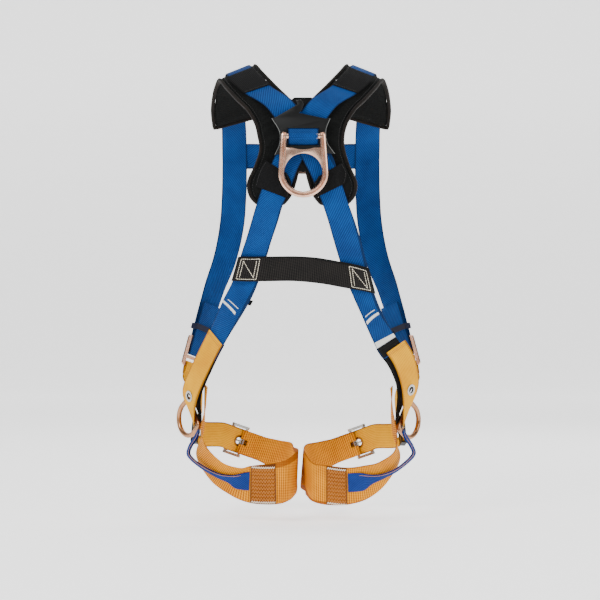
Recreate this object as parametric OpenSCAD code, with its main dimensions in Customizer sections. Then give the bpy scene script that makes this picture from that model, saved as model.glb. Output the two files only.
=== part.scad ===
// Full-body safety harness as worn: +X to the wearer's right, +Y to the front, +Z up.
// The origin is on the wearer's centre line, level with the hem of the leg loops.

/* [Webbing] */
// Width of the body webbing
web_w = 45; // [43:0.5:46]
// Thickness of the body webbing
web_t = 1.8; // [1.4:0.1:2]
// Thickness of the shoulder pads
pad_t = 10; // [8:0.5:10]

/* [Dorsal ring] */
// Radius of the dorsal ring's round hole
ring_hole_r = 32.6; // [31:0.1:33]
// Thickness of the dorsal ring's bar
ring_bar = 10.8; // [9:0.1:11]
// Sideways place of the dorsal ring
ring_x = 4; // [0:0.5:6]
// Height of the hole's centre above the hem
ring_hole_z = 574; // [572:1:576]
// Height of the hinge bar above the hem
ring_bar_z = 636; // [634:1:637]

/* [Hip rings] */
// Radius of the hip ring's bar
hip_bar_r = 4.5; // [4:0.1:4.6]
// Inside width of the hip ring
hip_ring_w = 50; // [49:0.5:52]

/* [Buckles] */
// Radius of the buckle bars
bar_r = 2.5; // [2.2:0.1:2.6]
// Radius of the hole in an eyelet
eyelet_r = 6; // [5.8:0.1:6.2]

/* [Hidden] */
$fn = 40;
gap = 0.3;

// ---- vectors, splines and frames ----

function unit(v) = v / norm(v);
function mix(a, b, t) = a + (b - a) * t;
function amount(q, s) = is_list(q) ? lookup(s, q) : q;

// Smooth curve through the stations p at s, counted in stations
function spline(p, s) =
    let (
        last = len(p) - 1,
        i = min(last - 1, max(0, floor(s))),
        t = s - i,
        b = p[i],
        c = p[i + 1],
        a = i > 0 ? p[i - 1] : 2 * b - c,
        d = i + 2 <= last ? p[i + 2] : 2 * c - b
    )
    b + 0.5 * t * ((c - a) + t * ((2 * a - 5 * b + 4 * c - d) + t * (3 * (b - c) + d - a)));

// A frame is [origin, along, across, out], right-handed
function frame(origin, along, facing) =
    let (x = unit(along), y = unit(cross(facing, x)))
    [origin, x, y, cross(x, y)];
function at(f, p) = f[0] + f[1] * p[0] + f[2] * p[1] + f[3] * p[2];
function toward(f, p) = f[1] * p[0] + f[2] * p[1] + f[3] * p[2];
function flip(v) = [-v[0], v[1], v[2]];
function flip_rails(rails) = [for (r = rails) [flip(r[1]), flip(r[0])]];

// The two edges of a strap from stations of [centre, facing, width]
function edges(stations) =
    let (last = len(stations) - 1)
    [for (i = [0 : last])
        let (
            c = stations[i][0],
            along = stations[min(last, i + 1)][0] - stations[max(0, i - 1)][0],
            side = unit(cross(stations[i][1], along)) * stations[i][2] / 2
        )
        [c - side, c + side]];

// Where a strap lies at station s: a frame on its inner face
function strap_frame(rails, s, lift = 0) =
    let (
        st = spline(rails, s),
        near = spline(rails, s - 0.05),
        far = spline(rails, s + 0.05),
        f = frame((st[0] + st[1]) / 2, far[0] + far[1] - near[0] - near[1], cross(
            far[0] + far[1] - near[0] - near[1], st[1] - st[0]))
    )
    [f[0] + f[3] * lift, f[1], f[2], f[3]];

module seat(f)
    multmatrix([
        [f[1][0], f[2][0], f[3][0], f[0][0]],
        [f[1][1], f[2][1], f[3][1], f[0][1]],
        [f[1][2], f[2][2], f[3][2], f[0][2]],
        [0, 0, 0, 1]
    ]) children();

// Cross-sections as [share of the width, share of the thickness]
flat_section = [[0, 0], [1, 0], [1, 1], [0, 1]];
pad_section = [[0.03, 0], [0.97, 0], [1, 0.3], [1, 0.65], [0.94, 1], [0.06, 1], [0, 0.65], [0, 0.3]];

function strap_ring(rails, s, lift, thick, inset, shift, section) =
    let (
        st = spline(rails, s),
        near = spline(rails, s - 0.05),
        far = spline(rails, s + 0.05),
        side = unit(st[1] - st[0]),
        out = unit(cross(far[0] + far[1] - near[0] - near[1], side)),
        a = st[0] + side * (amount(inset, s) + amount(shift, s)),
        b = st[1] - side * (amount(inset, s) - amount(shift, s))
    )
    [for (q = section) mix(a, b, q[0]) + out * (amount(lift, s) + amount(thick, s) * q[1])];

// A strap swept along its two edges, from station first to station last
module strap(rails, first, last, lift = 0, thick = web_t, inset = 0, shift = 0, steps = 4,
        section = flat_section) {
    count = ceil((last - first) * steps);
    sides = len(section);
    points = [for (k = [0 : count])
        each strap_ring(rails, first + (last - first) * k / count, lift, thick, inset, shift, section)];
    skin = [for (k = [0 : count - 1], j = [0 : sides - 1])
        let (j2 = (j + 1) % sides, p = k * sides, q = p + sides)
        each [[p + j2, p + j, q + j], [p + j2, q + j, q + j2]]];
    start_cap = [for (j = [1 : sides - 2]) [0, j, j + 1]];
    end_cap = [for (j = [1 : sides - 2]) [count * sides, count * sides + j + 1, count * sides + j]];
    polyhedron(points, concat(start_cap, skin, end_cap));
}

module mirrored() mirror([1, 0, 0]) children();
module right_side() mirrored() translate(right_shift) children();

// ---- the wearer's back and shoulders, under the pads ----

fall = 0.4;
back_depth = [
    [280, -96], [360, -90], [410, -88], [460, -92], [520, -98], [600, -100], [660, -97],
    [689, -91], [716, -81], [743, -64], [770, -38], [786, -20], [796, 0]
];
ridge_height = [
    [-81, 716], [-64, 743], [-38, 770], [-20, 786], [0, 796], [22, 789], [42, 774],
    [70, 746], [90, 717], [112, 660]
];
wrap_rate = [[300, 0.0055], [430, 0.0045], [520, 0.003], [600, 0]];
function back(x, z) =
    [x, lookup(z + fall * abs(x), back_depth) + lookup(z, wrap_rate) * pow(max(0, abs(x) - 60), 2), z];
function over(x, y) = [x, y, lookup(y, ridge_height) - fall * abs(x)];

// ---- shoulder pads: outer edge, neck edge, from the chest to the lower back lobe ----

function pad_rails(drop_in) = [
    [over(-156, 84), over(-83, 90)],
    [over(-158, 60), over(-82, 62)],
    [over(-152, 28), over(-81, 28)],
    [over(-142, 0), over(-79, 0)],
    [over(-130, -30), over(-66, -32)],
    [back(-110, 702), back(-44, 724)],
    [back(-92, 684), back(-24, 704)],
    [back(-78, 661), back(-6, 684)],
    [back(-72, 638), back(-2, 652)],
    [back(-69 - drop_in, 615), back(-2 - drop_in, 618)],
    [back(-77 - drop_in, 588), back(-6 - drop_in, 580)],
    [back(-90 - drop_in, 558), back(-13 - drop_in, 552)],
    [back(-87 - drop_in, 536), back(-20 - drop_in, 535)],
    [back(-76 - drop_in, 522), back(-31 - drop_in, 521)]
];
pad_left = pad_rails(0);
pad_right = flip_rails(pad_rails(4));
pad_last = len(pad_left) - 1;

// ---- main straps: chest, shoulder, under the dorsal plate, opposite hip ----

adjuster_left = frame([-187, 66, 258], [0.25, 0.16, 0.95], [-0.72, 0.68, 0]);
adjuster_run = [
    [[92, 0, -4.4], [0, 0, -1]], [[60, 0, -3.6], [0, 0, -1]], [[26, 0, -2.8], [0, 0, -1]],
    [[4, 0, -2.8], [0, 0, -1]], [[-3.4, 0, -2.2], [-0.5, 0, -0.9]], [[-5, 0, 0], [-1, 0, 0]],
    [[-3.4, 0, 2.2], [-0.5, 0, 0.9]], [[4, 0, 2.8], [0, 0, 1]], [[26, 0, 2.8], [0, 0, 1]],
    [[60, 0, 3.4], [0, 0, 1]]
];
chest_route = [
    [[-157, 90, 375], [-0.6, 0.8, 0.05]], [[-138, 104, 430], [-0.4, 0.9, 0]],
    [[-126, 113, 490], [-0.2, 1, 0]], [[-122, 118, 545], [-0.1, 1, 0]],
    [[-121, 119, 600], [-0.1, 1, 0.05]], [[-121, 115, 642], [-0.1, 1, 0.2]]
];
front_left = edges([
    for (r = adjuster_run) [at(adjuster_left, r[0]), toward(adjuster_left, r[1]), web_w],
    for (r = chest_route) [r[0], r[1], web_w]
]);
chest_end = len(front_left) - 1;

// Over the shoulder the strap lies on the pad: [pad station, share of the pad's width]
saddle_places = [
    [0.3, 0.5], [1, 0.52], [2, 0.54], [3, 0.54], [4, 0.52], [5, 0.57], [6, 0.66], [7, 0.72]
];
function on_pad(s, share) =
    let (w = spline(pad_left, s), half = web_w / 2 / norm(w[1] - w[0]))
    [mix(w[0], w[1], share - half), mix(w[0], w[1], share + half)];
front_over_left = concat(front_left, [for (q = saddle_places) on_pad(q[0], q[1])]);
plate_edge = len(front_over_left) - 1;

// From the dorsal plate down to the hip: left-hand edge, right-hand edge
down_left = [
    [back(-20, 648), back(20, 626)],
    [back(-44, 604), back(-3, 586)],
    [back(-57, 575), back(-13, 562)],
    [back(-68, 547), back(-25, 534)],
    [back(-77, 520), back(-31, 520)],
    [back(-86, 490), back(-40, 490)],
    [back(-95, 460), back(-50, 460)],
    [back(-105, 430), back(-59, 430)],
    [back(-118, 390), back(-73, 388)],
    [back(-134, 358), back(-92, 346)],
    [[-162, -34, 304], [-138, -60, 276]],
    [[-191, -12, 246], [-165, -42, 224]],
    [[-208, 4, 208], [-180, -28, 190]],
    [[-211, 14, 188], [-187, -18, 164]],
    [[-205, 18, 173], [-189, -2, 137]]
];
down_right = [
    [back(-16, 627), back(20, 653)],
    [back(6, 590), back(53, 604)],
    [back(20, 564), back(63, 577)],
    [back(29, 541), back(72, 552)],
    [back(37, 521), back(81, 524)],
    [back(47, 490), back(93, 490)],
    [back(56, 458), back(103, 458)],
    [back(66, 425), back(113, 420)],
    [back(80, 385), back(125, 374)],
    [back(102, 335), back(144, 328)],
    [[135, -58, 269], [169, -36, 290]],
    [[157, -44, 238], [193, -22, 256]],
    [[172, -34, 206], [205, -6, 218]],
    [[179, -22, 172], [206, 6, 194]],
    [[180, -4, 133], [196, 16, 169]]
];
leg_buckle_left = frame([-118, 112, 100], [0.92, 0.19, -0.34], [-0.2, 0.98, 0]);
thigh_route = [
    [[-192, 34, 142], [-1, -0.15, 0]], [[-191, 63, 122], [-0.98, 0.15, 0]],
    [[-176, 91, 112], [-0.6, 0.8, 0]]
];
buckle_run = [
    [[-30, 0, -6.6], [0, 0, 1]], [[-12, 0, -6.6], [-0.3, 0, 1]], [[-7, 0, -4.8], [-0.5, 0, 0.85]],
    [[7, 0, 4], [-0.5, 0, 0.85]], [[13, 0, 5.8], [0, 0, 1]], [[26, 0, 4.6], [0.1, 0, 1]],
    [[48, 0, 1.6], [0, 0, 1]], [[66, 0, 1], [0, 0, 1]]
];
round_left = edges([
    for (r = thigh_route) [r[0], r[1], web_w],
    for (r = buckle_run) [at(leg_buckle_left, r[0]), toward(leg_buckle_left, r[1]), web_w]
]);
// The right side's lower parts are the left's, moved this far in the left's frame and mirrored
right_shift = [8, 0, -3];
round_right = flip_rails([for (r = round_left) [r[0] + right_shift, r[1] + right_shift]]);

// The lines that webbing, backing and hip strap share, one from each shoulder
line_left_shoulder = concat(front_over_left, down_right, round_right);
line_right_shoulder = concat(flip_rails(front_over_left), down_left, round_left);
web_end = plate_edge + 11.5;
yellow_start = plate_edge + 11;
ring_station = plate_edge + 15;
line_end = len(line_left_shoulder) - 1;
buckle_station = plate_edge + 15 + 3 + 3.78;

// How far each layer stands off the shared line
shoulder_lift = pad_t + 0.5;
backing_out = pad_t + 2;
cross_lift = backing_out + 1.8;
chest_rise = 7;
function strap_lift(over_other) = [
    [chest_end - 1, 0], [chest_end, chest_rise], [chest_end + 0.8, shoulder_lift],
    [plate_edge - 1.8, shoulder_lift], [plate_edge - 0.8, cross_lift + 2],
    [plate_edge - 0.2, cross_lift + 3.6 + over_other], [plate_edge + 0.3, cross_lift + 1.4 + over_other],
    [plate_edge + 0.8, cross_lift + over_other], [plate_edge + 1.6, cross_lift + over_other],
    [plate_edge + 2.3, cross_lift], [plate_edge + 2.6, cross_lift],
    [plate_edge + 3.4, shoulder_lift], [plate_edge + 5.5, shoulder_lift],
    [plate_edge + 8, 2], [plate_edge + 9, 0], [plate_edge + 10.05, 0], [plate_edge + 10.9, -4.4],
    [web_end, -4.4]
];
lower_strap_lift = strap_lift(0);
upper_strap_lift = strap_lift(web_t + 1.2);
backing_lift = [
    [yellow_start, -6.8], [ring_station - 2, -8], [ring_station - 0.6, -14.6],
    [ring_station + 0.6, -14.6], [ring_station + 1.5, -8]
];
hip_lift = [
    [yellow_start, -1.8], [ring_station - 1, -1.8], [ring_station, -0.7], [ring_station + 0.5, -0.7],
    [ring_station + 1.3, -1.8], [buckle_station - 4.5, -1.8], [buckle_station - 3.5, 0], [line_end, 0]
];

// ---- shoulder and back modules ----

module shoulder_pad_left()
    color([0.05, 0.06, 0.06]) strap(pad_left, 0, pad_last, 0, pad_t, section = pad_section, steps = 3);
module shoulder_pad_right()
    color([0.05, 0.06, 0.06]) strap(pad_right, 0, pad_last, 0, pad_t, section = pad_section, steps = 3);

sleeve_lift = shoulder_lift + web_t + gap + 0.2;
module shoulder_sleeve()
    strap(front_over_left, plate_edge - 3.45, plate_edge - 2, sleeve_lift, 1.4, -1.5);
module shoulder_sleeve_left()
    color([0.08, 0.08, 0.08]) shoulder_sleeve();
module shoulder_sleeve_right()
    color([0.08, 0.08, 0.08]) mirrored() shoulder_sleeve();

pocket_left = [
    [back(-62, 596), back(-24, 573)], [back(-74, 574), back(-17, 556)], [back(-80, 552), back(-22, 530)]
];
pocket_right = [
    [back(30, 568), back(72, 592)], [back(22, 552), back(80, 575)], [back(27, 532), back(76, 556)]
];
pocket_lift = [
    [0, cross_lift + web_t + 0.5], [1, cross_lift + web_t - 0.4], [2, shoulder_lift + web_t + 0.5]
];
module pad_pocket(rails) color([0.08, 0.08, 0.08]) strap(rails, 0, 2, pocket_lift, 1.4);
module pad_pocket_left() pad_pocket(pocket_left);
module pad_pocket_right() pad_pocket(pocket_right);

module rounded_box(size, r) {
    square([size[0] - 2 * r, size[1]], center = true);
    square([size[0], size[1] - 2 * r], center = true);
    for (x = [-1, 1], y = [-1, 1])
        translate([x * (size[0] / 2 - r), y * (size[1] / 2 - r)]) circle(r);
}

// A plate standing in the plane of the back, its outer face at depth y
module upright(y, thick) translate([0, y + thick, 0]) rotate([90, 0, 0]) linear_extrude(thick) children();

function spine(x, z) = [x, lookup(z, back_depth), z];
backing_rails = [
    [spine(-12, 702), spine(18, 702)], [spine(-28, 684), spine(34, 684)], [spine(-34, 648), spine(39, 648)],
    [spine(-38, 612), spine(44, 612)], [spine(-10, 576), spine(18, 576)]
];
module dorsal_backing()
    color([0.06, 0.06, 0.07]) strap(backing_rails, 0, 4, backing_out - 1.6, 1.6, steps = 6);

plate_tilt = 2;
plate_y = -(100 + cross_lift + 2 * web_t + 4.6);
plate_t = 3;
loop_w = 52;
loop_reach = 13.1;
loop_end = 10.6;
module plate_outline()
    translate([ring_x, 0])
        polygon([
            [-55, 668], [-42, 645], [-42, 623], [-50, 604], [-26, 609], [0, 611],
            [27, 609], [55, 606], [42, 626], [40, 648], [47, 668], [38, 667.5], [-7, 679], [-12, 692],
            [-49, 669]
        ]);
module dorsal_plate()
    color([0.04, 0.05, 0.06])
        difference() {
            translate([0, plate_y, 604]) rotate([-plate_tilt, 0, 0]) translate([0, -plate_y, -604])
                upright(plate_y, plate_t) plate_outline();
            for (z = [ring_bar_z - loop_reach, ring_bar_z + loop_reach])
                translate([ring_x - loop_w / 2 - 1, plate_y - 5, z - 1.5]) cube([loop_w + 2, 15, 3]);
        }

module main_strap_left()
    color([0.08, 0.35, 0.62])
        strap(line_left_shoulder, 0, web_end, upper_strap_lift);
module main_strap_right()
    color([0.08, 0.35, 0.62])
        strap(line_right_shoulder, 0, web_end, lower_strap_lift);

// ---- dorsal ring and the loop that it hangs in ----

ring_y = plate_y - 6.6;
hole_trim = 0.2;
ring_r = ring_hole_r - hole_trim + ring_bar / 2;
arm_x = 33;
arm_lean = atan((ring_r - arm_x) / (ring_bar_z - ring_hole_z));
ring_depth = 10;
ring_cut = 3;
arm_top = 5;
// The bar's section is a rectangle with its corners cut off
module ring_section() {
    w = ring_bar / 2;
    d = ring_depth / 2;
    polygon([
        [-w, ring_cut - d], [ring_cut - w, -d], [w - ring_cut, -d], [w, ring_cut - d],
        [w, d - ring_cut], [w - ring_cut, d], [ring_cut - w, d], [-w, d - ring_cut]
    ]);
}
module ring_arm(side)
    translate([side * ring_r, 0, ring_hole_z]) rotate([0, -side * arm_lean, 0])
        linear_extrude((ring_bar_z - ring_hole_z) / cos(arm_lean) + arm_top) ring_section();
module ring_web()
    translate([0, 3, 0]) rotate([90, 0, 0]) linear_extrude(6)
        difference() {
            translate([-ring_r + 2, ring_hole_z]) square([2 * ring_r - 4, 42]);
            translate([0, ring_hole_z]) circle(ring_r - 1);
        }
module dorsal_ring()
    color([0.82, 0.66, 0.55])
        translate([ring_x, ring_y, 0]) {
            difference() {
                union() {
                    translate([0, 0, ring_hole_z]) rotate([90, 0, 0])
                        rotate_extrude($fn = 64) translate([ring_r, 0]) ring_section();
                    ring_arm(1);
                    ring_arm(-1);
                    ring_web();
                }
                translate([0, 10, ring_hole_z]) rotate([90, 0, 0]) cylinder(h = 20, r = ring_hole_r);
            }
            translate([-arm_x, 0, ring_bar_z]) rotate([0, 90, 0]) cylinder(h = 2 * arm_x, r = 4.9);
        }

// Side view of the loop: a band round the bar with both ends running into the plate
module loop_half(r, reach, end)
    hull() {
        circle(r);
        translate([5, -reach]) square([end - 5, 2 * reach]);
    }
module dorsal_loop()
    color([0.06, 0.31, 0.58])
        translate([ring_x - loop_w / 2, ring_y, 0]) rotate([90, 0, 90]) linear_extrude(loop_w)
            translate([0, ring_bar_z])
                difference() {
                    loop_half(5.35 + web_t, loop_reach + web_t / 2, loop_end);
                    loop_half(5.35, loop_reach - web_t / 2, loop_end + 1);
                }

// ---- lumbar strap and tabs ----

lumbar_rails = [
    [back(-118, 389), back(-106, 431)], [back(-96, 388), back(-86, 431)],
    [[-52, -86, 388], [-46, -89, 431]], [[-8, -88, 388], [-4, -91, 431]],
    [[40, -87, 383], [34, -90, 428]], [back(84, 375), back(78, 420)],
    [back(127, 367), back(115, 412)]
];
module lumbar_strap() color([0.15, 0.15, 0.15]) strap(lumbar_rails, 0, 6, 7, web_t);

module strap_tab_left()
    color([0.1, 0.15, 0.35]) strap(line_right_shoulder, plate_edge + 9.84, plate_edge + 10, -2.9, 1.6,
        shift = 4, steps = 8);
module strap_tab_right()
    color([0.05, 0.05, 0.08]) strap(line_left_shoulder, plate_edge + 10.72, plate_edge + 10.92, -6.6, 1.6,
        shift = 4, steps = 8);

// ---- hip straps, eyelets, rings and keepers ----

yellow_shift = [
    [plate_edge + 11, 11], [ring_station - 1.4, 4], [ring_station - 0.6, 1.8], [ring_station + 0.8, 1.8],
    [ring_station + 1.6, 0]
];
eyelet_stations = [
    plate_edge + 13.6, ring_station + 1.35, ring_station + 2.6, buckle_station, line_end - 0.4
];
function shift_for(side) = side < 0 ? 0 : yellow_shift;

module eyelet_places(line, side)
    for (s = eyelet_stations)
        seat(strap_frame(line, s, amount(hip_lift, s)))
            translate([0, amount(shift_for(side), s), 0]) children();
module hip_strap(line, side)
    color([0.95, 0.75, 0.22])
        difference() {
            strap(line, yellow_start, line_end, hip_lift, web_t, 0, shift_for(side), 5);
            eyelet_places(line, side) translate([0, 0, -4]) cylinder(h = 9, r = eyelet_r + 1);
        }
module eyelets(line, side)
    color([0.6, 0.6, 0.58])
        eyelet_places(line, side) rotate_extrude()
            polygon([
                [eyelet_r, -0.9], [eyelet_r + 4, -0.9], [eyelet_r + 4, -0.2], [eyelet_r + 0.8, -0.2],
                [eyelet_r + 0.8, web_t + 0.2], [eyelet_r + 4, web_t + 0.2],
                [eyelet_r + 4, web_t + 0.9], [eyelet_r, web_t + 0.9]
            ]);
module hip_backing(line)
    color([0.1, 0.1, 0.1]) strap(line, plate_edge + 11, ring_station + 1.5, backing_lift, web_t, steps = 5);

module hip_strap_left() hip_strap(line_right_shoulder, -1);
module hip_strap_right() hip_strap(line_left_shoulder, 1);
module eyelets_left() eyelets(line_right_shoulder, -1);
module eyelets_right() eyelets(line_left_shoulder, 1);
module hip_backing_left() hip_backing(line_right_shoulder);
module hip_backing_right() hip_backing(line_left_shoulder);

hip_apex = unit([-0.488, 0.651, -0.571]);
hip_out = unit([-0.8, -0.6, 0]);
hip_ring_left_at = frame([-197, 8, 155] - 7.7 * hip_out - 1.5 * hip_apex, hip_apex, hip_out);
hip_leg = 23;
hip_r = hip_ring_w / 2 + hip_bar_r;
module hip_ring()
    color([0.66, 0.45, 0.32]) {
        rotate([90, 0, 0]) cylinder(h = 2 * hip_r, r = hip_bar_r, center = true);
        for (y = [-hip_r, hip_r])
            translate([-hip_bar_r, y, 0]) rotate([0, 90, 0]) cylinder(h = hip_leg + hip_bar_r, r = hip_bar_r);
        translate([hip_leg, 0, 0]) rotate([0, 0, -90]) rotate_extrude(angle = 180)
            translate([hip_r, 0]) circle(hip_bar_r);
    }
module hip_ring_left() seat(hip_ring_left_at) hip_ring();
module hip_ring_right() right_side() seat(hip_ring_left_at) hip_ring();

// A flat tube round one or two runs of webbing: opening [width, height], length, wall
module keeper(opening, length, wall)
    difference() {
        cube([length, opening[0] + 2 * wall, opening[1] + 2 * wall], center = true);
        cube([length + 1, opening[0], opening[1]], center = true);
    }
hip_keeper_at = strap_frame(line_right_shoulder, ring_station + 2, -0.9);
module hip_keeper() seat(hip_keeper_at) keeper([web_w + 2.8, 6.4], 15, 1.8);
module hip_keeper_left() color([0.12, 0.12, 0.13]) hip_keeper();
module hip_keeper_right() color([0.12, 0.12, 0.13]) right_side() hip_keeper();

// ---- torso adjusters ----

frame_t = 3.2;
window_w = 48;
module adjuster_frame()
    color([0.8, 0.62, 0.5])
        difference() {
            translate([0, 0, -frame_t / 2]) linear_extrude(frame_t)
                difference() {
                    rounded_box([56, 62], 5);
                    translate([-8, -window_w / 2]) square([30, window_w]);
                    translate([-22, -window_w / 2]) square([8, window_w]);
                }
            translate([-7, -window_w / 2 - 2.6, -0.8]) cube([28, window_w + 5.2, 1.6]);
        }
module adjuster_bar()
    color([0.12, 0.12, 0.13]) {
        translate([2, 0, 0]) rotate([90, 0, 0]) linear_extrude(window_w - 0.8, center = true)
            rounded_box([7, 4], 1.6);
        translate([-1, -window_w / 2 - 2.2, -0.5]) cube([6, window_w + 4.4, 1]);
    }
module adjuster_frame_left() seat(adjuster_left) adjuster_frame();
module adjuster_frame_right() mirrored() seat(adjuster_left) adjuster_frame();
module adjuster_bar_left() seat(adjuster_left) adjuster_bar();
module adjuster_bar_right() mirrored() seat(adjuster_left) adjuster_bar();

module tail_keeper()
    color([0.08, 0.1, 0.2]) seat(adjuster_left) translate([46, 0, 0]) keeper([web_w + 2.4, 12.6], 10, 1.4);
module tail_keeper_left() tail_keeper();
module tail_keeper_right() mirrored() tail_keeper();

link_down = [
    [[-178, 41, 155], [-1, 0, 0]], [[-186, 47, 188], [-0.9, 0.4, 0]]
];
link_top = [
    [[-46, 0, -4.4], [0, 0, 1]], [[-34, 0, -3.6], [0, 0, 1]], [[-25, 0, -4], [0, 0, 1]],
    [[-19.6, 0, -3.2], [-0.7, 0, 0.7]], [[-18.4, 0, 0], [-1, 0, 0]], [[-19.6, 0, 3.2], [-0.7, 0, -0.7]],
    [[-25, 0, 4], [0, 0, -1]], [[-42, 0, 1.4], [0, 0, -1]]
];
function link_rails_up(shift) = edges([
    for (r = link_down) [r[0] + shift, r[1], web_w],
    for (r = link_top) [at(adjuster_left, r[0]), toward(adjuster_left, r[1]), web_w]
]);
module hip_link(rails) color([0.9, 0.68, 0.2]) strap(rails, 0, len(rails) - 1);
module hip_link_left() hip_link(link_rails_up([0, 0, 0]));
module hip_link_right() mirrored() hip_link(link_rails_up(right_shift));

// ---- leg loops, seat patches and seat links ----

seat_left = [
    [[-170, 20, 204], [-163, -44, 202]],
    [[-171, 20, 165], [-167, -46, 165]],
    [[-172, 8, 122], [-174, -54, 128]],
    [[-184, -14, 82], [-164, -76, 101]],
    [[-160, -50, 42], [-136, -99, 75]],
    [[-126, -80, 18], [-105, -114, 66]],
    [[-88, -98, 4], [-86, -118, 70]],
    [[-43, -100, 2], [-44, -118, 75]],
    [[-20, -88, 8], [-21, -106, 82]],
    [[-10, -58, 16], [-7, -76, 94]],
    [[-9, -10, 16], [-7, -20, 93]]
];
seat_right = [
    [[-162, 20, 202], [-156, -44, 200]],
    [[-160, 20, 160], [-160, -46, 162]],
    [[-162, 6, 118], [-167, -54, 120]],
    [[-174, -16, 76], [-161, -76, 92]],
    [[-150, -54, 36], [-134, -100, 75]],
    [[-118, -82, 11], [-108, -115, 70]],
    [[-80, -98, 1], [-78, -118, 67]],
    [[-44, -100, 1], [-44, -118, 71]],
    [[-20, -88, 6], [-20, -106, 75]],
    [[-10, -58, 14], [-7, -76, 92]],
    [[-9, -10, 16], [-7, -20, 93]]
];
groin_route = [
    [[-11, 30, 58], [1, 0.1, 0.1], 72], [[-20, 72, 66], [0.75, 0.65, 0.1], 66],
    [[-44, 98, 74], [0.1, 1, 0.1], 54]
];
heel = 13;
heel_wrap = [
    [[44, 0, -5], [0, 0, 1]], [[26, 0, -5], [0, 0, 1]], [[heel, 0, -5], [0, 0, 1]],
    [[heel - 3.6, 0, -3.4], [0.7, 0, 0.7]], [[heel - 5, 0, 0], [1, 0, 0]],
    [[heel - 3.6, 0, 3.4], [0.7, 0, -0.7]], [[heel, 0, 5], [0, 0, -1]], [[heel + 9, 0, 3.2], [-0.1, 0, -1]],
    [[36, 0, -0.4], [-0.1, 0, -1]]
];
leg_end_left = edges([
    for (r = groin_route) r,
    for (r = heel_wrap) [at(leg_buckle_left, r[0]), toward(leg_buckle_left, r[1]), web_w - 1]
]);
leg_left = concat(seat_left, leg_end_left);
leg_right = concat(seat_right, [for (r = leg_end_left) [r[0] + right_shift, r[1] + right_shift]]);
leg_last = len(leg_left) - 1;
hub_w = 8;
module leg_loop(rails, buckle)
    color([0.93, 0.66, 0.18])
        difference() {
            strap(rails, 0, leg_last);
            seat(buckle) translate([heel - 9, -hub_w / 2 - 1, -8]) cube([16, hub_w + 2, 16]);
        }
leg_buckle_right = [for (k = [0 : 3]) k == 0 ? leg_buckle_left[0] + right_shift : leg_buckle_left[k]];
module leg_loop_left() leg_loop(leg_left, leg_buckle_left);
module leg_loop_right() mirrored() leg_loop(leg_right, leg_buckle_right);

patch_lift = web_t + gap;
module seat_patch(rails) color([0.7, 0.47, 0.15]) strap(rails, 6, 7, patch_lift, 1.2, 1);
module seat_patch_left() seat_patch(seat_left);
module seat_patch_right() mirrored() seat_patch(seat_right);

// A point on a strap's outer face: station, share of the width, height above the inner face
function on_strap(rails, s, share, lift) =
    let (f = strap_frame(rails, s, lift), w = spline(rails, s))
    mix(w[0], w[1], share) + f[3] * lift;
function link_rails(rails) = concat(
    [for (q = [[5.95, 0.85, 0.35, 2.2], [5.6, 0.85, 0.33, 2.4], [5.2, 0.82, 0.32, 2.8],
            [4.8, 0.72, 0.42, 3.4], [4.2, 0.58, 0.4, 5], [3.5, 0.34, 0.18, 8]])
        [on_strap(rails, q[0], q[1], q[3]), on_strap(rails, q[0], q[2], q[3])]],
    edges([
        [[-196, -16, 80], [-0.9, -0.5, 0], 11], [[-195, -12, 94], [-0.9, -0.4, 0], 12],
        [[-184, -14, 112], [-0.9, -0.3, 0.1], 14], [[-178.5, -17, 124], [-0.95, -0.2, 0.2], 14]
    ])
);
link_thick = [[1, web_t], [3, 3.4], [9, 3.4]];
module seat_link(rails) color([0.15, 0.3, 0.6]) strap(link_rails(rails), 0, 9, 0, link_thick);
module seat_link_left() seat_link(seat_left);
module seat_link_right() mirrored() seat_link(seat_right);

// ---- leg buckles ----

rail_y = 24;
module leg_buckle_frame()
    color([0.72, 0.72, 0.7]) {
        for (side = [-1, 1])
            translate([0, side * (rail_y + 2.5), 0]) {
                cube([2 * heel, 5, 8], center = true);
                for (x = [-heel, heel])
                    translate([x, 0, 0]) rotate([90, 0, 0]) cylinder(h = 5, r = 4, center = true);
            }
        for (x = [-heel, heel])
            translate([x, 0, 0]) rotate([90, 0, 0]) cylinder(h = 2 * rail_y + 4, r = bar_r, center = true);
    }
run_fit = 0.06;
module leg_buckle_tongue()
    color([0.72, 0.72, 0.7])
        difference() {
            union() {
                translate([heel, 0, 0]) rotate([90, 0, 0]) cylinder(h = hub_w, r = 4.4, center = true);
                translate([heel - 1, 0, 1.4]) rotate([0, -79, 0]) cylinder(h = 28, r = 1.8);
                translate([heel - 1, 0, 1.4]) rotate([0, -79, 0]) translate([0, 0, 28]) sphere(r = 1.8);
            }
            translate([heel, 0, 0]) rotate([90, 0, 0])
                cylinder(h = hub_w + 2, r = bar_r + run_fit, center = true);
        }
module leg_buckle_roller()
    color([0.72, 0.72, 0.7])
        translate([-heel, 0, 0]) rotate([90, 0, 0])
            difference() {
                cylinder(h = 2 * rail_y - 1, r = 4, center = true);
                cylinder(h = 2 * rail_y + 1, r = bar_r + run_fit, center = true);
            }
module on_left_leg() seat(leg_buckle_left) children();
module on_right_leg() right_side() seat(leg_buckle_left) children();
module leg_buckle_frame_left() on_left_leg() leg_buckle_frame();
module leg_buckle_frame_right() on_right_leg() leg_buckle_frame();
module leg_buckle_tongue_left() on_left_leg() leg_buckle_tongue();
module leg_buckle_tongue_right() on_right_leg() leg_buckle_tongue();
module leg_buckle_roller_left() on_left_leg() leg_buckle_roller();
module leg_buckle_roller_right() on_right_leg() leg_buckle_roller();

// ---- chest strap and buckle ----

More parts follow.
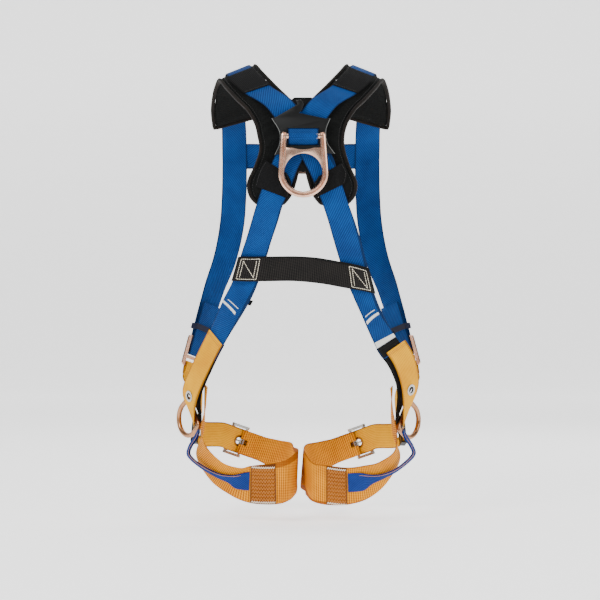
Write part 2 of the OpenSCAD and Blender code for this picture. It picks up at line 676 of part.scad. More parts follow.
chest_z = 618;
chest_y = 132;
chest_at = frame([0, chest_y, chest_z], [1, 0, 0], [0, 1, 0]);
plate_bar = [31, 0, 4.5];
plate_bar_r = 2.2;
left_run = [
    [[-60, 0, -6], [0, 0, 1]], [[-36, 0, -5.2], [0, 0, 1]], [[-26, 0, -4], [0, 0, 1]],
    [[-20.6, 0, -3.4], [-0.6, 0, 0.6]], [[-19.4, 0, 0], [-1, 0, 0]], [[-20.6, 0, 3.4], [-0.6, 0, -0.6]],
    [[-30, 0, 4.2], [0, 0, -1]], [[-44, 0, 1], [0, 0, -1]], [[-56, 0, -1], [0, 0, -1]]
];
right_run = [
    [[58, 0, -2], [0, 0, 1]], [[44, 0, -0.4], [0, 0, 1]], [[31, 0, -0.2], [0, 0, 1]],
    [[27.6, 0, 1.2], [0.6, 0, 0.6]], [[26.3, 0, 4.5], [1, 0, 0]], [[27.6, 0, 7.8], [0.6, 0, -0.6]],
    [[31, 0, 9.2], [0, 0, -1]], [[44, 0, 6], [0, 0, -1]], [[72, 0, 4], [0, 0, -1]]
];
// The chest strap starts on the outer face of the shoulder strap: [top edge, bottom edge]
function on_shoulder_strap(share) = [
    on_strap(front_left, chest_end - 0.05, share, chest_rise + web_t + 2),
    on_strap(front_left, chest_end - 1.1, share, web_t + 2)
];
chest_start = [for (share = [0.04, 0.5, 1]) on_shoulder_strap(share)];
function chest_run(run) =
    edges([for (r = run) [at(chest_at, r[0]), toward(chest_at, r[1]), web_w]]);
chest_left = concat(chest_start, chest_run(left_run));
chest_right = concat(flip_rails(chest_start), chest_run(right_run));
module chest_strap_left() color([0.08, 0.35, 0.62]) strap(chest_left, 0, len(chest_left) - 1);
module chest_strap_right() color([0.08, 0.35, 0.62]) strap(chest_right, 0, len(chest_right) - 1);
module chest_frame()
    color([0.8, 0.62, 0.5])
        seat(chest_at) translate([-8, 0, -1.6]) linear_extrude(3.2)
            difference() {
                rounded_box([44, 64], 5);
                translate([1, 0]) rounded_box([30, 50], 3);
                translate([-9, 0]) square([10, 50], center = true);
            }
module chest_plate()
    color([0.8, 0.62, 0.5])
        seat(chest_at) {
            translate([0, 0, plate_bar[2] - 1.6]) linear_extrude(3.2)
                difference() {
                    translate([8, 0]) rounded_box([48, 58], 5);
                    translate([28.5, 0]) square([11, 48], center = true);
                    translate([31.5, 0]) square([3, 60], center = true);
                }
            translate([29, 0, plate_bar[2]]) for (side = [-1, 1])
                translate([0, side * 26.5, 0]) cube([4, 5, 3.2], center = true);
            translate(plate_bar) rotate([90, 0, 0]) cylinder(h = 58, r = plate_bar_r, center = true);
        }
module chest_keeper()
    color([0.08, 0.1, 0.2]) seat(chest_at) translate([56, 0, 0.6]) keeper([web_w + 2.4, 14], 10, 1.4);

shoulder_pad_left();
shoulder_pad_right();
shoulder_sleeve_left();
shoulder_sleeve_right();
pad_pocket_left();
pad_pocket_right();
dorsal_backing();
dorsal_plate();
main_strap_left();
main_strap_right();
dorsal_loop();
dorsal_ring();
lumbar_strap();
strap_tab_left();
strap_tab_right();
hip_strap_left();
hip_strap_right();
hip_backing_left();
hip_backing_right();
eyelets_left();
eyelets_right();
hip_ring_left();
hip_ring_right();
hip_keeper_left();
hip_keeper_right();
hip_link_left();
hip_link_right();
adjuster_frame_left();
adjuster_frame_right();
adjuster_bar_left();
adjuster_bar_right();
tail_keeper_left();
tail_keeper_right();
leg_loop_left();
leg_loop_right();
seat_patch_left();
seat_patch_right();
seat_link_left();
seat_link_right();
leg_buckle_frame_left();
leg_buckle_frame_right();
leg_buckle_tongue_left();
leg_buckle_tongue_right();
leg_buckle_roller_left();
leg_buckle_roller_right();
chest_strap_left();
chest_strap_right();
chest_frame();
chest_plate();
chest_keeper();
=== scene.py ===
"""A full-body safety harness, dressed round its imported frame.

Lengths in the tables are millimetres in the frame of the part: +X to the right as seen from behind the
wearer, +Y to the wearer's front, +Z up. Meshes are written in metres.
"""
import logging
import math
from collections.abc import Sequence
from dataclasses import dataclass, field
from enum import Enum

import bpy
import numpy as np
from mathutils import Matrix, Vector


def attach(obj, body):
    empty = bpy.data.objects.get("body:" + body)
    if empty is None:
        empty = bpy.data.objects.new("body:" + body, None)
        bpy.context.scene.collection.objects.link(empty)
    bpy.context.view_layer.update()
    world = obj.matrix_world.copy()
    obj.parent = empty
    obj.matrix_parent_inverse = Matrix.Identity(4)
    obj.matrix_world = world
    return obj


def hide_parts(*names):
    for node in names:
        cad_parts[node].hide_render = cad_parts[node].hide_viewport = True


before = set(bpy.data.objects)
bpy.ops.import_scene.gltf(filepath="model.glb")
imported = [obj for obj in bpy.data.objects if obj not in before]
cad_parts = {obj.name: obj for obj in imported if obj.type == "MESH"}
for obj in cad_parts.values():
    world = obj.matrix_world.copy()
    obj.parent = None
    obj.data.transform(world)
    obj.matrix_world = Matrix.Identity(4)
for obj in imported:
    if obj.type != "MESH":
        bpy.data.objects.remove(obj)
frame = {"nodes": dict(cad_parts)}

LOG = logging.getLogger("harness")
MM = 0.001
ROOT = "webbing"
Colour = tuple[float, float, float, float]


# ---------------------------------------------------------------- curves and rails

def vec(*values: float) -> np.ndarray:
    """A vector of floats."""
    return np.array(values, float)


def unit(v: np.ndarray) -> np.ndarray:
    """The vector at unit length."""
    return v / np.linalg.norm(v)


def mix(a: float | np.ndarray, b: float | np.ndarray, t: float) -> float | np.ndarray:
    """The value a share t of the way from a to b."""
    return a + (b - a) * t


def ramp(at: float, table: Sequence[tuple[float, float]]) -> float:
    """Straight-line look-up in (place, value) pairs, held at both ends."""
    places, values = zip(*table)
    return float(np.interp(at, places, values))


def spline(points: np.ndarray, s: float) -> np.ndarray:
    """The smooth curve through the stations at s, counted in stations.

    Args:
        points: One row of values a station.
        s: The place along them.

    Returns:
        The values there.
    """
    last = len(points) - 1
    i = min(last - 1, max(0, math.floor(s)))
    t = s - i
    b, c = points[i], points[i + 1]
    a = points[i - 1] if i > 0 else 2 * b - c
    d = points[i + 2] if i + 2 <= last else 2 * c - b
    return b + 0.5 * t * ((c - a) + t * ((2 * a - 5 * b + 4 * c - d) + t * (3 * (b - c) + d - a)))


@dataclass
class Place:
    """A right-handed frame: an origin with directions along, across and out."""

    origin: np.ndarray
    along: np.ndarray
    across: np.ndarray
    out: np.ndarray

    @classmethod
    def facing(cls, origin: Sequence[float], along: Sequence[float], out: Sequence[float]) -> "Place":
        """A frame from its origin, its direction along and roughly where it faces."""
        x = unit(np.array(along, float))
        y = unit(np.cross(np.array(out, float), x))
        return cls(np.array(origin, float), x, y, np.cross(x, y))

    def turn(self, p: Sequence[float]) -> np.ndarray:
        """A local direction in the part's frame."""
        return self.along * p[0] + self.across * p[1] + self.out * p[2]

    def at(self, p: Sequence[float]) -> np.ndarray:
        """A local point in the part's frame."""
        return self.origin + self.turn(p)


def flip(p: Sequence[float]) -> np.ndarray:
    """The point mirrored to the other side of the body."""
    return np.array([-p[0], p[1], p[2]], float)


def flip_rails(rails: Sequence) -> list:
    """Rails mirrored to the other side, still facing outwards."""
    return [[flip(b), flip(a)] for a, b in rails]


def edges(stations: Sequence) -> list:
    """The two edges of a strap along its middle.

    Args:
        stations: One (centre, facing, width) a station.

    Returns:
        The pair of edge points at each station.
    """
    out = []
    last = len(stations) - 1
    for i, (centre, out_dir, width) in enumerate(stations):
        along = np.array(stations[min(last, i + 1)][0], float) - np.array(stations[max(0, i - 1)][0], float)
        side = unit(np.cross(np.array(out_dir, float), along)) * width / 2
        out.append([np.array(centre, float) - side, np.array(centre, float) + side])
    return out


# ---------------------------------------------------------------- the wearer's surface

WEB_W, WEB_T, PAD_T = 45.0, 1.8, 10.0
BACK_DEPTH = [
    (280, -96), (360, -90), (410, -88), (460, -92), (520, -98), (600, -100), (660, -97),
    (689, -91), (716, -81), (743, -64), (770, -38), (786, -20), (796, 0),
]
RIDGE_HEIGHT = [
    (-81, 716), (-64, 743), (-38, 770), (-20, 786), (0, 796), (22, 789), (42, 774),
    (70, 746), (90, 717), (112, 660),
]
WRAP_RATE = [(300, 0.0055), (430, 0.0045), (520, 0.003), (600, 0)]


def back(x: float, z: float) -> np.ndarray:
    """A point on the wearer's back."""
    bulge = ramp(z, WRAP_RATE) * max(0.0, abs(x) - 60) ** 2
    return vec(x, ramp(z + 0.4 * abs(x), BACK_DEPTH) + bulge, z)


def over(x: float, y: float) -> np.ndarray:
    """A point on top of the wearer's shoulder."""
    return vec(x, y, ramp(y, RIDGE_HEIGHT) - 0.4 * abs(x))


def spine(x: float, z: float) -> np.ndarray:
    """A point level with the middle of the back."""
    return vec(x, ramp(z, BACK_DEPTH), z)


def pad_rails(drop_in: float) -> list:
    """Outer and neck edge of the left pad from the chest to its lower lobe.

    Args:
        drop_in: How far the lower lobe sits towards the outside, in millimetres.

    Returns:
        The pair of edge points at each station.
    """
    lobe = [
        ((-69, 615), (-2, 618)), ((-77, 588), (-6, 580)), ((-90, 558), (-13, 552)),
        ((-87, 536), (-20, 535)), ((-76, 522), (-31, 521)),
    ]
    shoulder = [
        [over(-156, 84), over(-83, 90)], [over(-158, 60), over(-82, 62)], [over(-152, 28), over(-81, 28)],
        [over(-142, 0), over(-79, 0)], [over(-130, -30), over(-66, -32)],
        [back(-110, 702), back(-44, 724)], [back(-92, 684), back(-24, 704)],
        [back(-78, 661), back(-6, 684)], [back(-72, 638), back(-2, 652)],
    ]
    return shoulder + [[back(a[0] - drop_in, a[1]), back(b[0] - drop_in, b[1])] for a, b in lobe]


PAD_LEFT = pad_rails(0)
PAD_RIGHT = flip_rails(pad_rails(4))


def straight_run(place: Place, stations: Sequence, width: float) -> list:
    """Strap stations given in a buckle's own frame, as (x, z, facing x, facing z)."""
    return [(place.at((x, 0, z)), place.turn((fx, 0, fz)), width) for x, z, fx, fz in stations]


ADJUSTER = Place.facing((-187, 66, 258), (0.25, 0.16, 0.95), (-0.72, 0.68, 0))
ADJUSTER_RUN = [
    (92, -4.4, 0, -1), (60, -3.6, 0, -1), (26, -2.8, 0, -1), (4, -2.8, 0, -1), (-3.4, -2.2, -0.5, -0.9),
    (-5, 0, -1, 0), (-3.4, 2.2, -0.5, 0.9), (4, 2.8, 0, 1), (26, 2.8, 0, 1), (60, 3.4, 0, 1),
]
CHEST_ROUTE = [
    ((-157, 90, 375), (-0.6, 0.8, 0.05)), ((-138, 104, 430), (-0.4, 0.9, 0)),
    ((-126, 113, 490), (-0.2, 1, 0)), ((-122, 118, 545), (-0.1, 1, 0)),
    ((-121, 119, 600), (-0.1, 1, 0.05)), ((-121, 115, 642), (-0.1, 1, 0.2)),
]
FRONT = edges(straight_run(ADJUSTER, ADJUSTER_RUN, WEB_W) + [(c, f, WEB_W) for c, f in CHEST_ROUTE])
CHEST_END = len(FRONT) - 1
SADDLE = [(0.3, 0.5), (1, 0.52), (2, 0.54), (3, 0.54), (4, 0.52), (5, 0.57), (6, 0.66), (7, 0.72)]


def on_pad(s: float, share: float) -> list:
    """The strap's two edges where it lies on the left pad."""
    a, b = spline(np.array(PAD_LEFT), s)
    half = WEB_W / 2 / np.linalg.norm(b - a)
    return [mix(a, b, share - half), mix(a, b, share + half)]


FRONT_OVER = FRONT + [on_pad(s, share) for s, share in SADDLE]
PLATE_EDGE = len(FRONT_OVER) - 1
DOWN_LEFT = [[back(*a), back(*b)] for a, b in (
    ((-20, 648), (20, 626)), ((-44, 604), (-3, 586)), ((-57, 575), (-13, 562)), ((-68, 547), (-25, 534)),
    ((-77, 520), (-31, 520)), ((-86, 490), (-40, 490)), ((-95, 460), (-50, 460)), ((-105, 430), (-59, 430)),
    ((-118, 390), (-73, 388)), ((-134, 358), (-92, 346)),
)] + [[vec(*a), vec(*b)] for a, b in (
    ((-162, -34, 304), (-138, -60, 276)), ((-191, -12, 246), (-165, -42, 224)),
    ((-208, 4, 208), (-180, -28, 190)), ((-211, 14, 188), (-187, -18, 164)),
    ((-205, 18, 173), (-189, -2, 137)),
)]
DOWN_RIGHT = [[back(*a), back(*b)] for a, b in (
    ((-16, 627), (20, 653)), ((6, 590), (53, 604)), ((20, 564), (63, 577)), ((29, 541), (72, 552)),
    ((37, 521), (81, 524)), ((47, 490), (93, 490)), ((56, 458), (103, 458)), ((66, 425), (113, 420)),
    ((80, 385), (125, 374)), ((102, 335), (144, 328)),
)] + [[vec(*a), vec(*b)] for a, b in (
    ((135, -58, 269), (169, -36, 290)), ((157, -44, 238), (193, -22, 256)),
    ((172, -34, 206), (205, -6, 218)), ((179, -22, 172), (206, 6, 194)),
    ((180, -4, 133), (196, 16, 169)),
)]
LEG_BUCKLE = Place.facing((-118, 112, 100), (0.92, 0.19, -0.34), (-0.2, 0.98, 0))
THIGH_ROUTE = [
    ((-192, 34, 142), (-1, -0.15, 0)), ((-191, 63, 122), (-0.98, 0.15, 0)), ((-176, 91, 112), (-0.6, 0.8, 0)),
]
BUCKLE_RUN = [
    (-30, -6.6, 0, 1), (-12, -6.6, -0.3, 1), (-7, -4.8, -0.5, 0.85), (7, 4, -0.5, 0.85), (13, 5.8, 0, 1),
    (26, 4.6, 0.1, 1), (48, 1.6, 0, 1), (66, 1, 0, 1),
]
ROUND = edges([(c, f, WEB_W) for c, f in THIGH_ROUTE] + straight_run(LEG_BUCKLE, BUCKLE_RUN, WEB_W))
RIGHT_SHIFT = vec(8, 0, -3)
LINE_LEFT = FRONT_OVER + DOWN_RIGHT + flip_rails([[a + RIGHT_SHIFT, b + RIGHT_SHIFT] for a, b in ROUND])
LINE_RIGHT = flip_rails(FRONT_OVER) + DOWN_LEFT + ROUND
WEB_END = PLATE_EDGE + 11.5
YELLOW_START = PLATE_EDGE + 11
RING_STATION = PLATE_EDGE + 15
LINE_END = len(LINE_LEFT) - 1
BUCKLE_STATION = PLATE_EDGE + 21.78

SHOULDER_LIFT = PAD_T + 0.5
BACKING_OUT = PAD_T + 2
CROSS_LIFT = BACKING_OUT + 1.8
CHEST_RISE = 7
PE = PLATE_EDGE


def strap_lift(over_other: float) -> list:
    """How far a body strap stands off the wearer, by station.

    Args:
        over_other: How much higher it lies where it crosses over the other strap.

    Returns:
        Pairs of station and height.
    """
    return [
        (CHEST_END - 1, 0), (CHEST_END, CHEST_RISE), (CHEST_END + 0.8, SHOULDER_LIFT),
        (PE - 1.8, SHOULDER_LIFT), (PE - 0.8, CROSS_LIFT + 2), (PE - 0.2, CROSS_LIFT + 3.6 + over_other),
        (PE + 0.3, CROSS_LIFT + 1.4 + over_other), (PE + 0.8, CROSS_LIFT + over_other),
        (PE + 1.6, CROSS_LIFT + over_other), (PE + 2.3, CROSS_LIFT), (PE + 2.6, CROSS_LIFT),
        (PE + 3.4, SHOULDER_LIFT), (PE + 5.5, SHOULDER_LIFT), (PE + 8, 2), (PE + 9, 0),
        (PE + 10.05, 0), (PE + 10.9, -4.4), (WEB_END, -4.4),
    ]


BACKING_LIFT = [
    (YELLOW_START, -6.8), (RING_STATION - 2, -8), (RING_STATION - 0.6, -14.6),
    (RING_STATION + 0.6, -14.6), (RING_STATION + 1.5, -8),
]
HIP_LIFT = [
    (YELLOW_START, -1.8), (RING_STATION - 1, -1.8), (RING_STATION, -0.7), (RING_STATION + 0.5, -0.7),
    (RING_STATION + 1.3, -1.8), (BUCKLE_STATION - 4.5, -1.8), (BUCKLE_STATION - 3.5, 0), (LINE_END, 0),
]
YELLOW_SHIFT = [
    (PE + 11, 11), (RING_STATION - 1.4, 4), (RING_STATION - 0.6, 1.8), (RING_STATION + 0.8, 1.8),
    (RING_STATION + 1.6, 0),
]


# ---------------------------------------------------------------- shader maths

class Field:
    """A socket's value in shader maths, so that sums and products add their own nodes."""

    def __init__(self, graph: "Graph", socket: bpy.types.NodeSocket) -> None:
        """Keeps the graph and the socket."""
        self.graph = graph
        self.socket = socket

    def __add__(self, other: "Field | float") -> "Field":
        """The sum."""
        return self.graph.math("ADD", self, other)

    def __radd__(self, other: "Field | float") -> "Field":
        """The sum, this field second."""
        return self.graph.math("ADD", other, self)

    def __sub__(self, other: "Field | float") -> "Field":
        """The difference."""
        return self.graph.math("SUBTRACT", self, other)

    def __rsub__(self, other: "Field | float") -> "Field":
        """The difference, this field second."""
        return self.graph.math("SUBTRACT", other, self)

    def __mul__(self, other: "Field | float") -> "Field":
        """The product."""
        return self.graph.math("MULTIPLY", self, other)

    def __rmul__(self, other: "Field | float") -> "Field":
        """The product, this field second."""
        return self.graph.math("MULTIPLY", other, self)

    def __truediv__(self, other: "Field | float") -> "Field":
        """The quotient."""
        return self.graph.math("DIVIDE", self, other)

    def __rtruediv__(self, other: "Field | float") -> "Field":
        """The quotient, this field below."""
        return self.graph.math("DIVIDE", other, self)


class Graph:
    """One material's nodes, written as expressions."""

    def __init__(self, name: str) -> None:
        """Starts an empty material with its shader and output.

        Args:
            name: The material's name.
        """
        self.material = bpy.data.materials.new(name)
        self.material.use_nodes = True
        self.tree = self.material.node_tree
        self.tree.nodes.clear()
        self.shader = self.tree.nodes.new("ShaderNodeBsdfPrincipled")
        output = self.tree.nodes.new("ShaderNodeOutputMaterial")
        self.tree.links.new(self.shader.outputs["BSDF"], output.inputs["Surface"])

    def put(self, socket: bpy.types.NodeSocket, value: "Field | float | Sequence") -> None:
        """Links or sets one socket.

        Args:
            socket: The socket.
            value: The field that is linked to it, or its constant.
        """
        if isinstance(value, Field):
            self.tree.links.new(value.socket, socket)
        else:
            socket.default_value = value

    def node(self, kind: str, settings: dict | None = None, inputs: dict | None = None,
             out: int | str = 0) -> Field:
        """Adds any node.

        Args:
            kind: The node's type.
            settings: Its own properties, set first.
            inputs: Values or fields by socket name or number.
            out: Which output is returned.

        Returns:
            The output as a field.
        """
        made = self.tree.nodes.new(kind)
        for key, value in (settings or {}).items():
            setattr(made, key, value)
        for key, value in (inputs or {}).items():
            self.put(made.inputs[key], value)
        return Field(self, made.outputs[out])

    def math(self, operation: str, *values: Field | float) -> Field:
        """A Math node on numbers and fields."""
        return self.node("ShaderNodeMath", {"operation": operation}, dict(enumerate(values)))

    def sine(self, value: Field) -> Field:
        """A wave from 0 to 1."""
        return self.math("SINE", value) * 0.5 + 0.5

    def between(self, value: Field, low: float, high: float) -> Field:
        """A smooth step; low may be the larger.

        Args:
            value: The field it follows.
            low: Where the step is 0.
            high: Where the step is 1.

        Returns:
            The step, from 0 to 1.
        """
        return self.node("ShaderNodeMapRange", {"interpolation_type": "SMOOTHSTEP", "clamp": True}, {
            "Value": value, "From Min": min(low, high), "From Max": max(low, high),
            "To Min": 0.0 if low < high else 1.0, "To Max": 1.0 if low < high else 0.0})

    def blend(self, factor: Field, a: Field | Colour, b: Field | Colour) -> Field:
        """A colour between two."""
        return self.node("ShaderNodeMix", {"data_type": "RGBA", "clamp_factor": True},
                         {0: factor, 6: a, 7: b}, out=2)

    def place(self) -> Field:
        """Object coordinates."""
        return self.node("ShaderNodeTexCoord", out="Object")

    def noise(self, scale: float, detail: float = 3.0, rough: float = 0.55) -> Field:
        """Noise from 0 to 1 on Object coordinates."""
        return self.node("ShaderNodeTexNoise", None, {
            "Vector": self.place(), "Scale": scale, "Detail": detail, "Roughness": rough})

    def strap_place(self) -> tuple[Field, Field]:
        """A strap's own map.

        Returns:
            Millimetres across it and along it.
        """
        uv = self.node("ShaderNodeUVMap", {"uv_map": "UVMap"})
        split = self.node("ShaderNodeSeparateXYZ", None, {0: uv})
        along = Field(self, split.socket.node.outputs[1])
        return split * 1000.0, along * 1000.0

    def finish(self, base: Field, roughness: Field, height: Field, bump: float, depth: float,
               **fixed: float) -> bpy.types.Material:
        """Wires the shader.

        Args:
            base: The colour.
            roughness: The roughness.
            height: What the bump follows.
            bump: The bump's strength.
            depth: The bump's distance in metres.
            **fixed: Constants for other sockets, with spaces as underscores.

        Returns:
            The material.
        """
        self.put(self.shader.inputs["Base Color"], base)
        self.put(self.shader.inputs["Roughness"], roughness)
        normal = self.node("ShaderNodeBump", None, {"Strength": bump, "Distance": depth, "Height": height})
        self.put(self.shader.inputs["Normal"], normal)
        for key, value in fixed.items():
            self.shader.inputs[key.replace("_", " ")].default_value = value
        return self.material


def paint(red: int, green: int, blue: int) -> Colour:
    """A screen colour from 0 to 255 as the shader's linear colour."""
    parts = (red, green, blue)
    return tuple(((c / 255 + 0.055) / 1.055) ** 2.4 if c > 10 else c / 3295 for c in parts) + (1.0,)


class Weave(Enum):
    """How a strap is woven."""

    TWILL = "twill"
    RIBS_ALONG = "ribs along"
    RIBS_ACROSS = "ribs across"
    PLAIN = "plain"


@dataclass(frozen=True)
class Webbing:
    """Woven polyester strap, read from its map across and along."""

    name: str
    light: Colour
    dark: Colour
    edge: Colour
    weave: Weave = Weave.TWILL
    width: float = WEB_W
    pitch: float = 3.4
    edge_w: float = 2.6
    sheen: float = 0.12
    contrast: float = 0.8

    def build(self) -> bpy.types.Material:
        """Writes the nodes.

        Returns:
            The material.
        """
        g = Graph(self.name)
        across, along = g.strap_place()
        turn = 2 * math.pi / self.pitch
        if self.weave is Weave.TWILL:
            pattern = g.sine((across * 0.8 + along * 0.62) * turn) * 0.65 + g.sine(across * turn * 1.7) * 0.35
        elif self.weave is Weave.RIBS_ALONG:
            pattern = g.sine(across * turn) * 0.7 + g.sine(along * turn * 1.4) * 0.3
        elif self.weave is Weave.RIBS_ACROSS:
            pattern = g.sine(along * turn) * 0.75 + g.sine(across * turn * 0.8 + along * 0.35) * 0.25
        else:
            pattern = g.sine(along * turn) * g.sine(across * turn)
        to_edge = g.math("MINIMUM", across, self.width - across)
        selvedge = g.between(to_edge, self.edge_w, self.edge_w * 0.4)
        cloud = g.noise(22.0, 4.0)
        fuzz = g.noise(900.0, 2.0, 0.7)
        tone = 0.5 + (pattern - 0.5) * self.contrast + (cloud - 0.5) * 0.9 + (fuzz - 0.5) * 0.5
        cloth = g.blend(tone, self.dark, self.light)
        base = g.blend(selvedge * 0.8, cloth, self.edge)
        height = pattern * 0.7 + fuzz * 0.35 - selvedge * 0.6
        return g.finish(base, 0.78 - pattern * 0.14 + (cloud - 0.5) * 0.1, height, 0.7, 0.0008,
                        Sheen_Weight=self.sheen, Sheen_Roughness=0.45, Specular_IOR_Level=0.14)


@dataclass(frozen=True)
class Cloth:
    """Padded or sewn cloth read from Object coordinates, with an open mesh or plain weave."""

    name: str
    light: Colour
    dark: Colour
    cell: float = 2.6
    sheen: float = 0.35

    def build(self) -> bpy.types.Material:
        """Writes the nodes.

        Returns:
            The material.
        """
        g = Graph(self.name)
        cells = g.node("ShaderNodeTexVoronoi", {"feature": "DISTANCE_TO_EDGE"}, {
            "Vector": g.place(), "Scale": 1000 / self.cell, "Randomness": 0.35})
        threads = g.between(cells, 0.34, 0.08)
        cloud = g.noise(30.0, 4.0)
        fuzz = g.noise(1100.0, 2.0, 0.7)
        tone = threads * 0.55 + (cloud - 0.5) * 0.7 + (fuzz - 0.5) * 0.4 + 0.2
        base = g.blend(tone, self.dark, self.light)
        return g.finish(base, 0.9 - threads * 0.18, threads * 0.8 + fuzz * 0.3, 0.6, 0.0007,
                        Sheen_Weight=self.sheen, Sheen_Roughness=0.5, Specular_IOR_Level=0.12)


@dataclass(frozen=True)
class Metal:
    """Plated steel with fine brushing, cloudy plating and small dark pits."""

    name: str
    light: Colour
    dark: Colour
    rough: float = 0.3
    grain: float = 260.0

    def build(self) -> bpy.types.Material:
        """Writes the nodes.

        Returns:
            The material.
        """
        g = Graph(self.name)
        stretched = g.node("ShaderNodeMapping", None, {"Vector": g.place(), "Scale": (1.0, 1.0, 0.16)})
        brush = g.node("ShaderNodeTexNoise", None, {
            "Vector": stretched, "Scale": self.grain * 6, "Detail": 2.0, "Roughness": 0.6})
        cloud = g.noise(70.0, 4.0)
        speck = g.noise(700.0, 3.0, 0.7)
        pits = g.between(speck, 0.64, 0.72)
        base = g.blend(0.6 + (cloud - 0.5) * 1.1 + (brush - 0.5) * 0.15 - pits * 0.2, self.dark, self.light)
        rough = self.rough + (cloud - 0.5) * 0.16 + (brush - 0.5) * 0.08 + pits * 0.08
        return g.finish(base, rough, brush * 0.3 + cloud * 0.5 - pits * 0.2, 0.08, 0.0002, Metallic=1.0)


@dataclass(frozen=True)
class Plastic:
    """Moulded plastic with a fine grain."""

    name: str
    light: Colour
    dark: Colour
    rough: float = 0.42

    def build(self) -> bpy.types.Material:
        """Writes the nodes.

        Returns:
            The material.
        """
        g = Graph(self.name)
        grain = g.noise(1400.0, 2.0, 0.6)
        cloud = g.noise(40.0, 4.0)
        scuff = g.between(g.noise(160.0, 5.0, 0.75), 0.6, 0.75)
        base = g.blend(0.35 + (cloud - 0.5) * 0.8 + scuff * 0.35, self.dark, self.light)
        return g.finish(base, self.rough + (grain - 0.5) * 0.16 + scuff * 0.18, grain * 0.6 + cloud * 0.3,
                        0.22, 0.0003, Specular_IOR_Level=0.3)


@dataclass(frozen=True)
class Thread:
    """Sewing thread: twisted yarn on Object coordinates."""

    name: str
    light: Colour
    dark: Colour

    def build(self) -> bpy.types.Material:
        """Writes the nodes.

        Returns:
            The material.
        """
        g = Graph(self.name)
        yarn = g.noise(2400.0, 2.0, 0.6)
        cloud = g.noise(60.0, 3.0)
        base = g.blend(0.35 + yarn * 0.4 + (cloud - 0.5) * 0.5, self.dark, self.light)
        return g.finish(base, 0.62 + yarn * 0.15, yarn, 0.4, 0.0002, Sheen_Weight=0.2, Sheen_Roughness=0.4)


class Finish(Enum):
    """Every finish on the harness."""

    BLUE = Webbing("blue_twill", paint(5, 74, 144), paint(0, 28, 76), paint(0, 26, 60),
                   sheen=0.05, contrast=1.0)
    LOOP = Webbing("blue_loop", paint(5, 74, 144), paint(0, 28, 76), paint(0, 26, 60),
                   width=52.0, sheen=0.05)
    YELLOW = Webbing("yellow_webbing", paint(255, 192, 0), paint(206, 124, 0), paint(120, 66, 0),
                     Weave.RIBS_ALONG, pitch=3.0, sheen=0.0)
    LEG = Webbing("golden_leg_webbing", paint(240, 160, 0), paint(160, 78, 0), paint(140, 66, 0),
                  Weave.RIBS_ACROSS, 68.0, 3.8, sheen=0.0, contrast=1.15)
    BLACK = Webbing("black_webbing", paint(18, 17, 17), paint(4, 4, 4), paint(3, 3, 3),
                    Weave.RIBS_ALONG, pitch=4.0, sheen=0.04)
    LUMBAR = Webbing("black_ribbed_webbing", paint(34, 31, 29), paint(5, 5, 5), paint(5, 5, 5),
                     Weave.RIBS_ACROSS, 43.0, 3.8, sheen=0.06, contrast=1.2)
    SLEEVE = Webbing("black_sleeve", paint(16, 16, 17), paint(3, 3, 4), paint(3, 3, 3),
                     Weave.PLAIN, 48.0, 2.6, sheen=0.03)
    LINK = Webbing("folded_blue_webbing", paint(24, 64, 146), paint(4, 20, 72), paint(4, 20, 72), pitch=2.8,
                   width=38.0, edge_w=1.2, sheen=0.03)
    PATCH = Webbing("tan_patch", paint(190, 112, 20), paint(112, 54, 4), paint(70, 32, 4),
                    Weave.PLAIN, 70.0, 2.4)
    PAD = Cloth("black_spacer_mesh", paint(9, 11, 10), paint(1, 1, 1), 2.8, 0.03)
    BINDING = Cloth("edge_binding", paint(28, 22, 18), paint(6, 5, 4), 1.6, 0.05)
    ZINC = Metal("rose_zinc", paint(240, 204, 182), paint(188, 136, 108), 0.24)
    BRONZE = Metal("bronze_zinc", paint(196, 146, 106), paint(124, 80, 52), 0.28)
    STEEL = Metal("bright_steel", paint(206, 204, 198), paint(126, 125, 122), 0.24)
    DARK_STEEL = Metal("black_steel", paint(44, 42, 42), paint(18, 17, 17), 0.4)
    PLATE = Plastic("black_plate", paint(9, 12, 13), paint(2, 2, 2), 0.38)
    # Light grey for the tubes along the dorsal plate's sides: a painted highlight where the black edge
    # catches the light.
    PLATE_EDGE = Plastic("plate_edge", paint(150, 152, 148), paint(86, 88, 88), 0.5)
    KEEPER = Plastic("black_keeper", paint(30, 31, 33), paint(7, 7, 8), 0.42)
    NAVY = Plastic("navy_keeper", paint(12, 22, 60), paint(4, 8, 24), 0.48)
    WHITE_THREAD = Thread("white_thread", paint(250, 248, 242), paint(214, 208, 198))
    WHITE_BAND = Webbing("white_band", paint(250, 250, 248), paint(214, 214, 210), paint(208, 208, 204),
                         Weave.PLAIN, 45.0, 2.4)
    CREAM_THREAD = Thread("cream_thread", paint(252, 246, 228), paint(214, 200, 170))
    TAN_THREAD = Thread("tan_thread", paint(214, 136, 34), paint(140, 76, 12))
    GOLD_THREAD = Thread("gold_thread", paint(222, 160, 104), paint(160, 100, 56))
    BLACK_THREAD = Thread("black_thread", paint(22, 21, 21), paint(6, 6, 6))
    STUDIO = Cloth("studio_floor", paint(250, 250, 250), paint(244, 244, 244), 60.0, 0.0)


class Shelf:
    """Builds each finish once."""

    made: dict[Finish, bpy.types.Material] = {}

    @classmethod
    def get(cls, finish: Finish) -> bpy.types.Material:
        """The finish's material."""
        if finish not in cls.made:
            cls.made[finish] = finish.value.build()
        return cls.made[finish]


# ---------------------------------------------------------------- mesh helpers

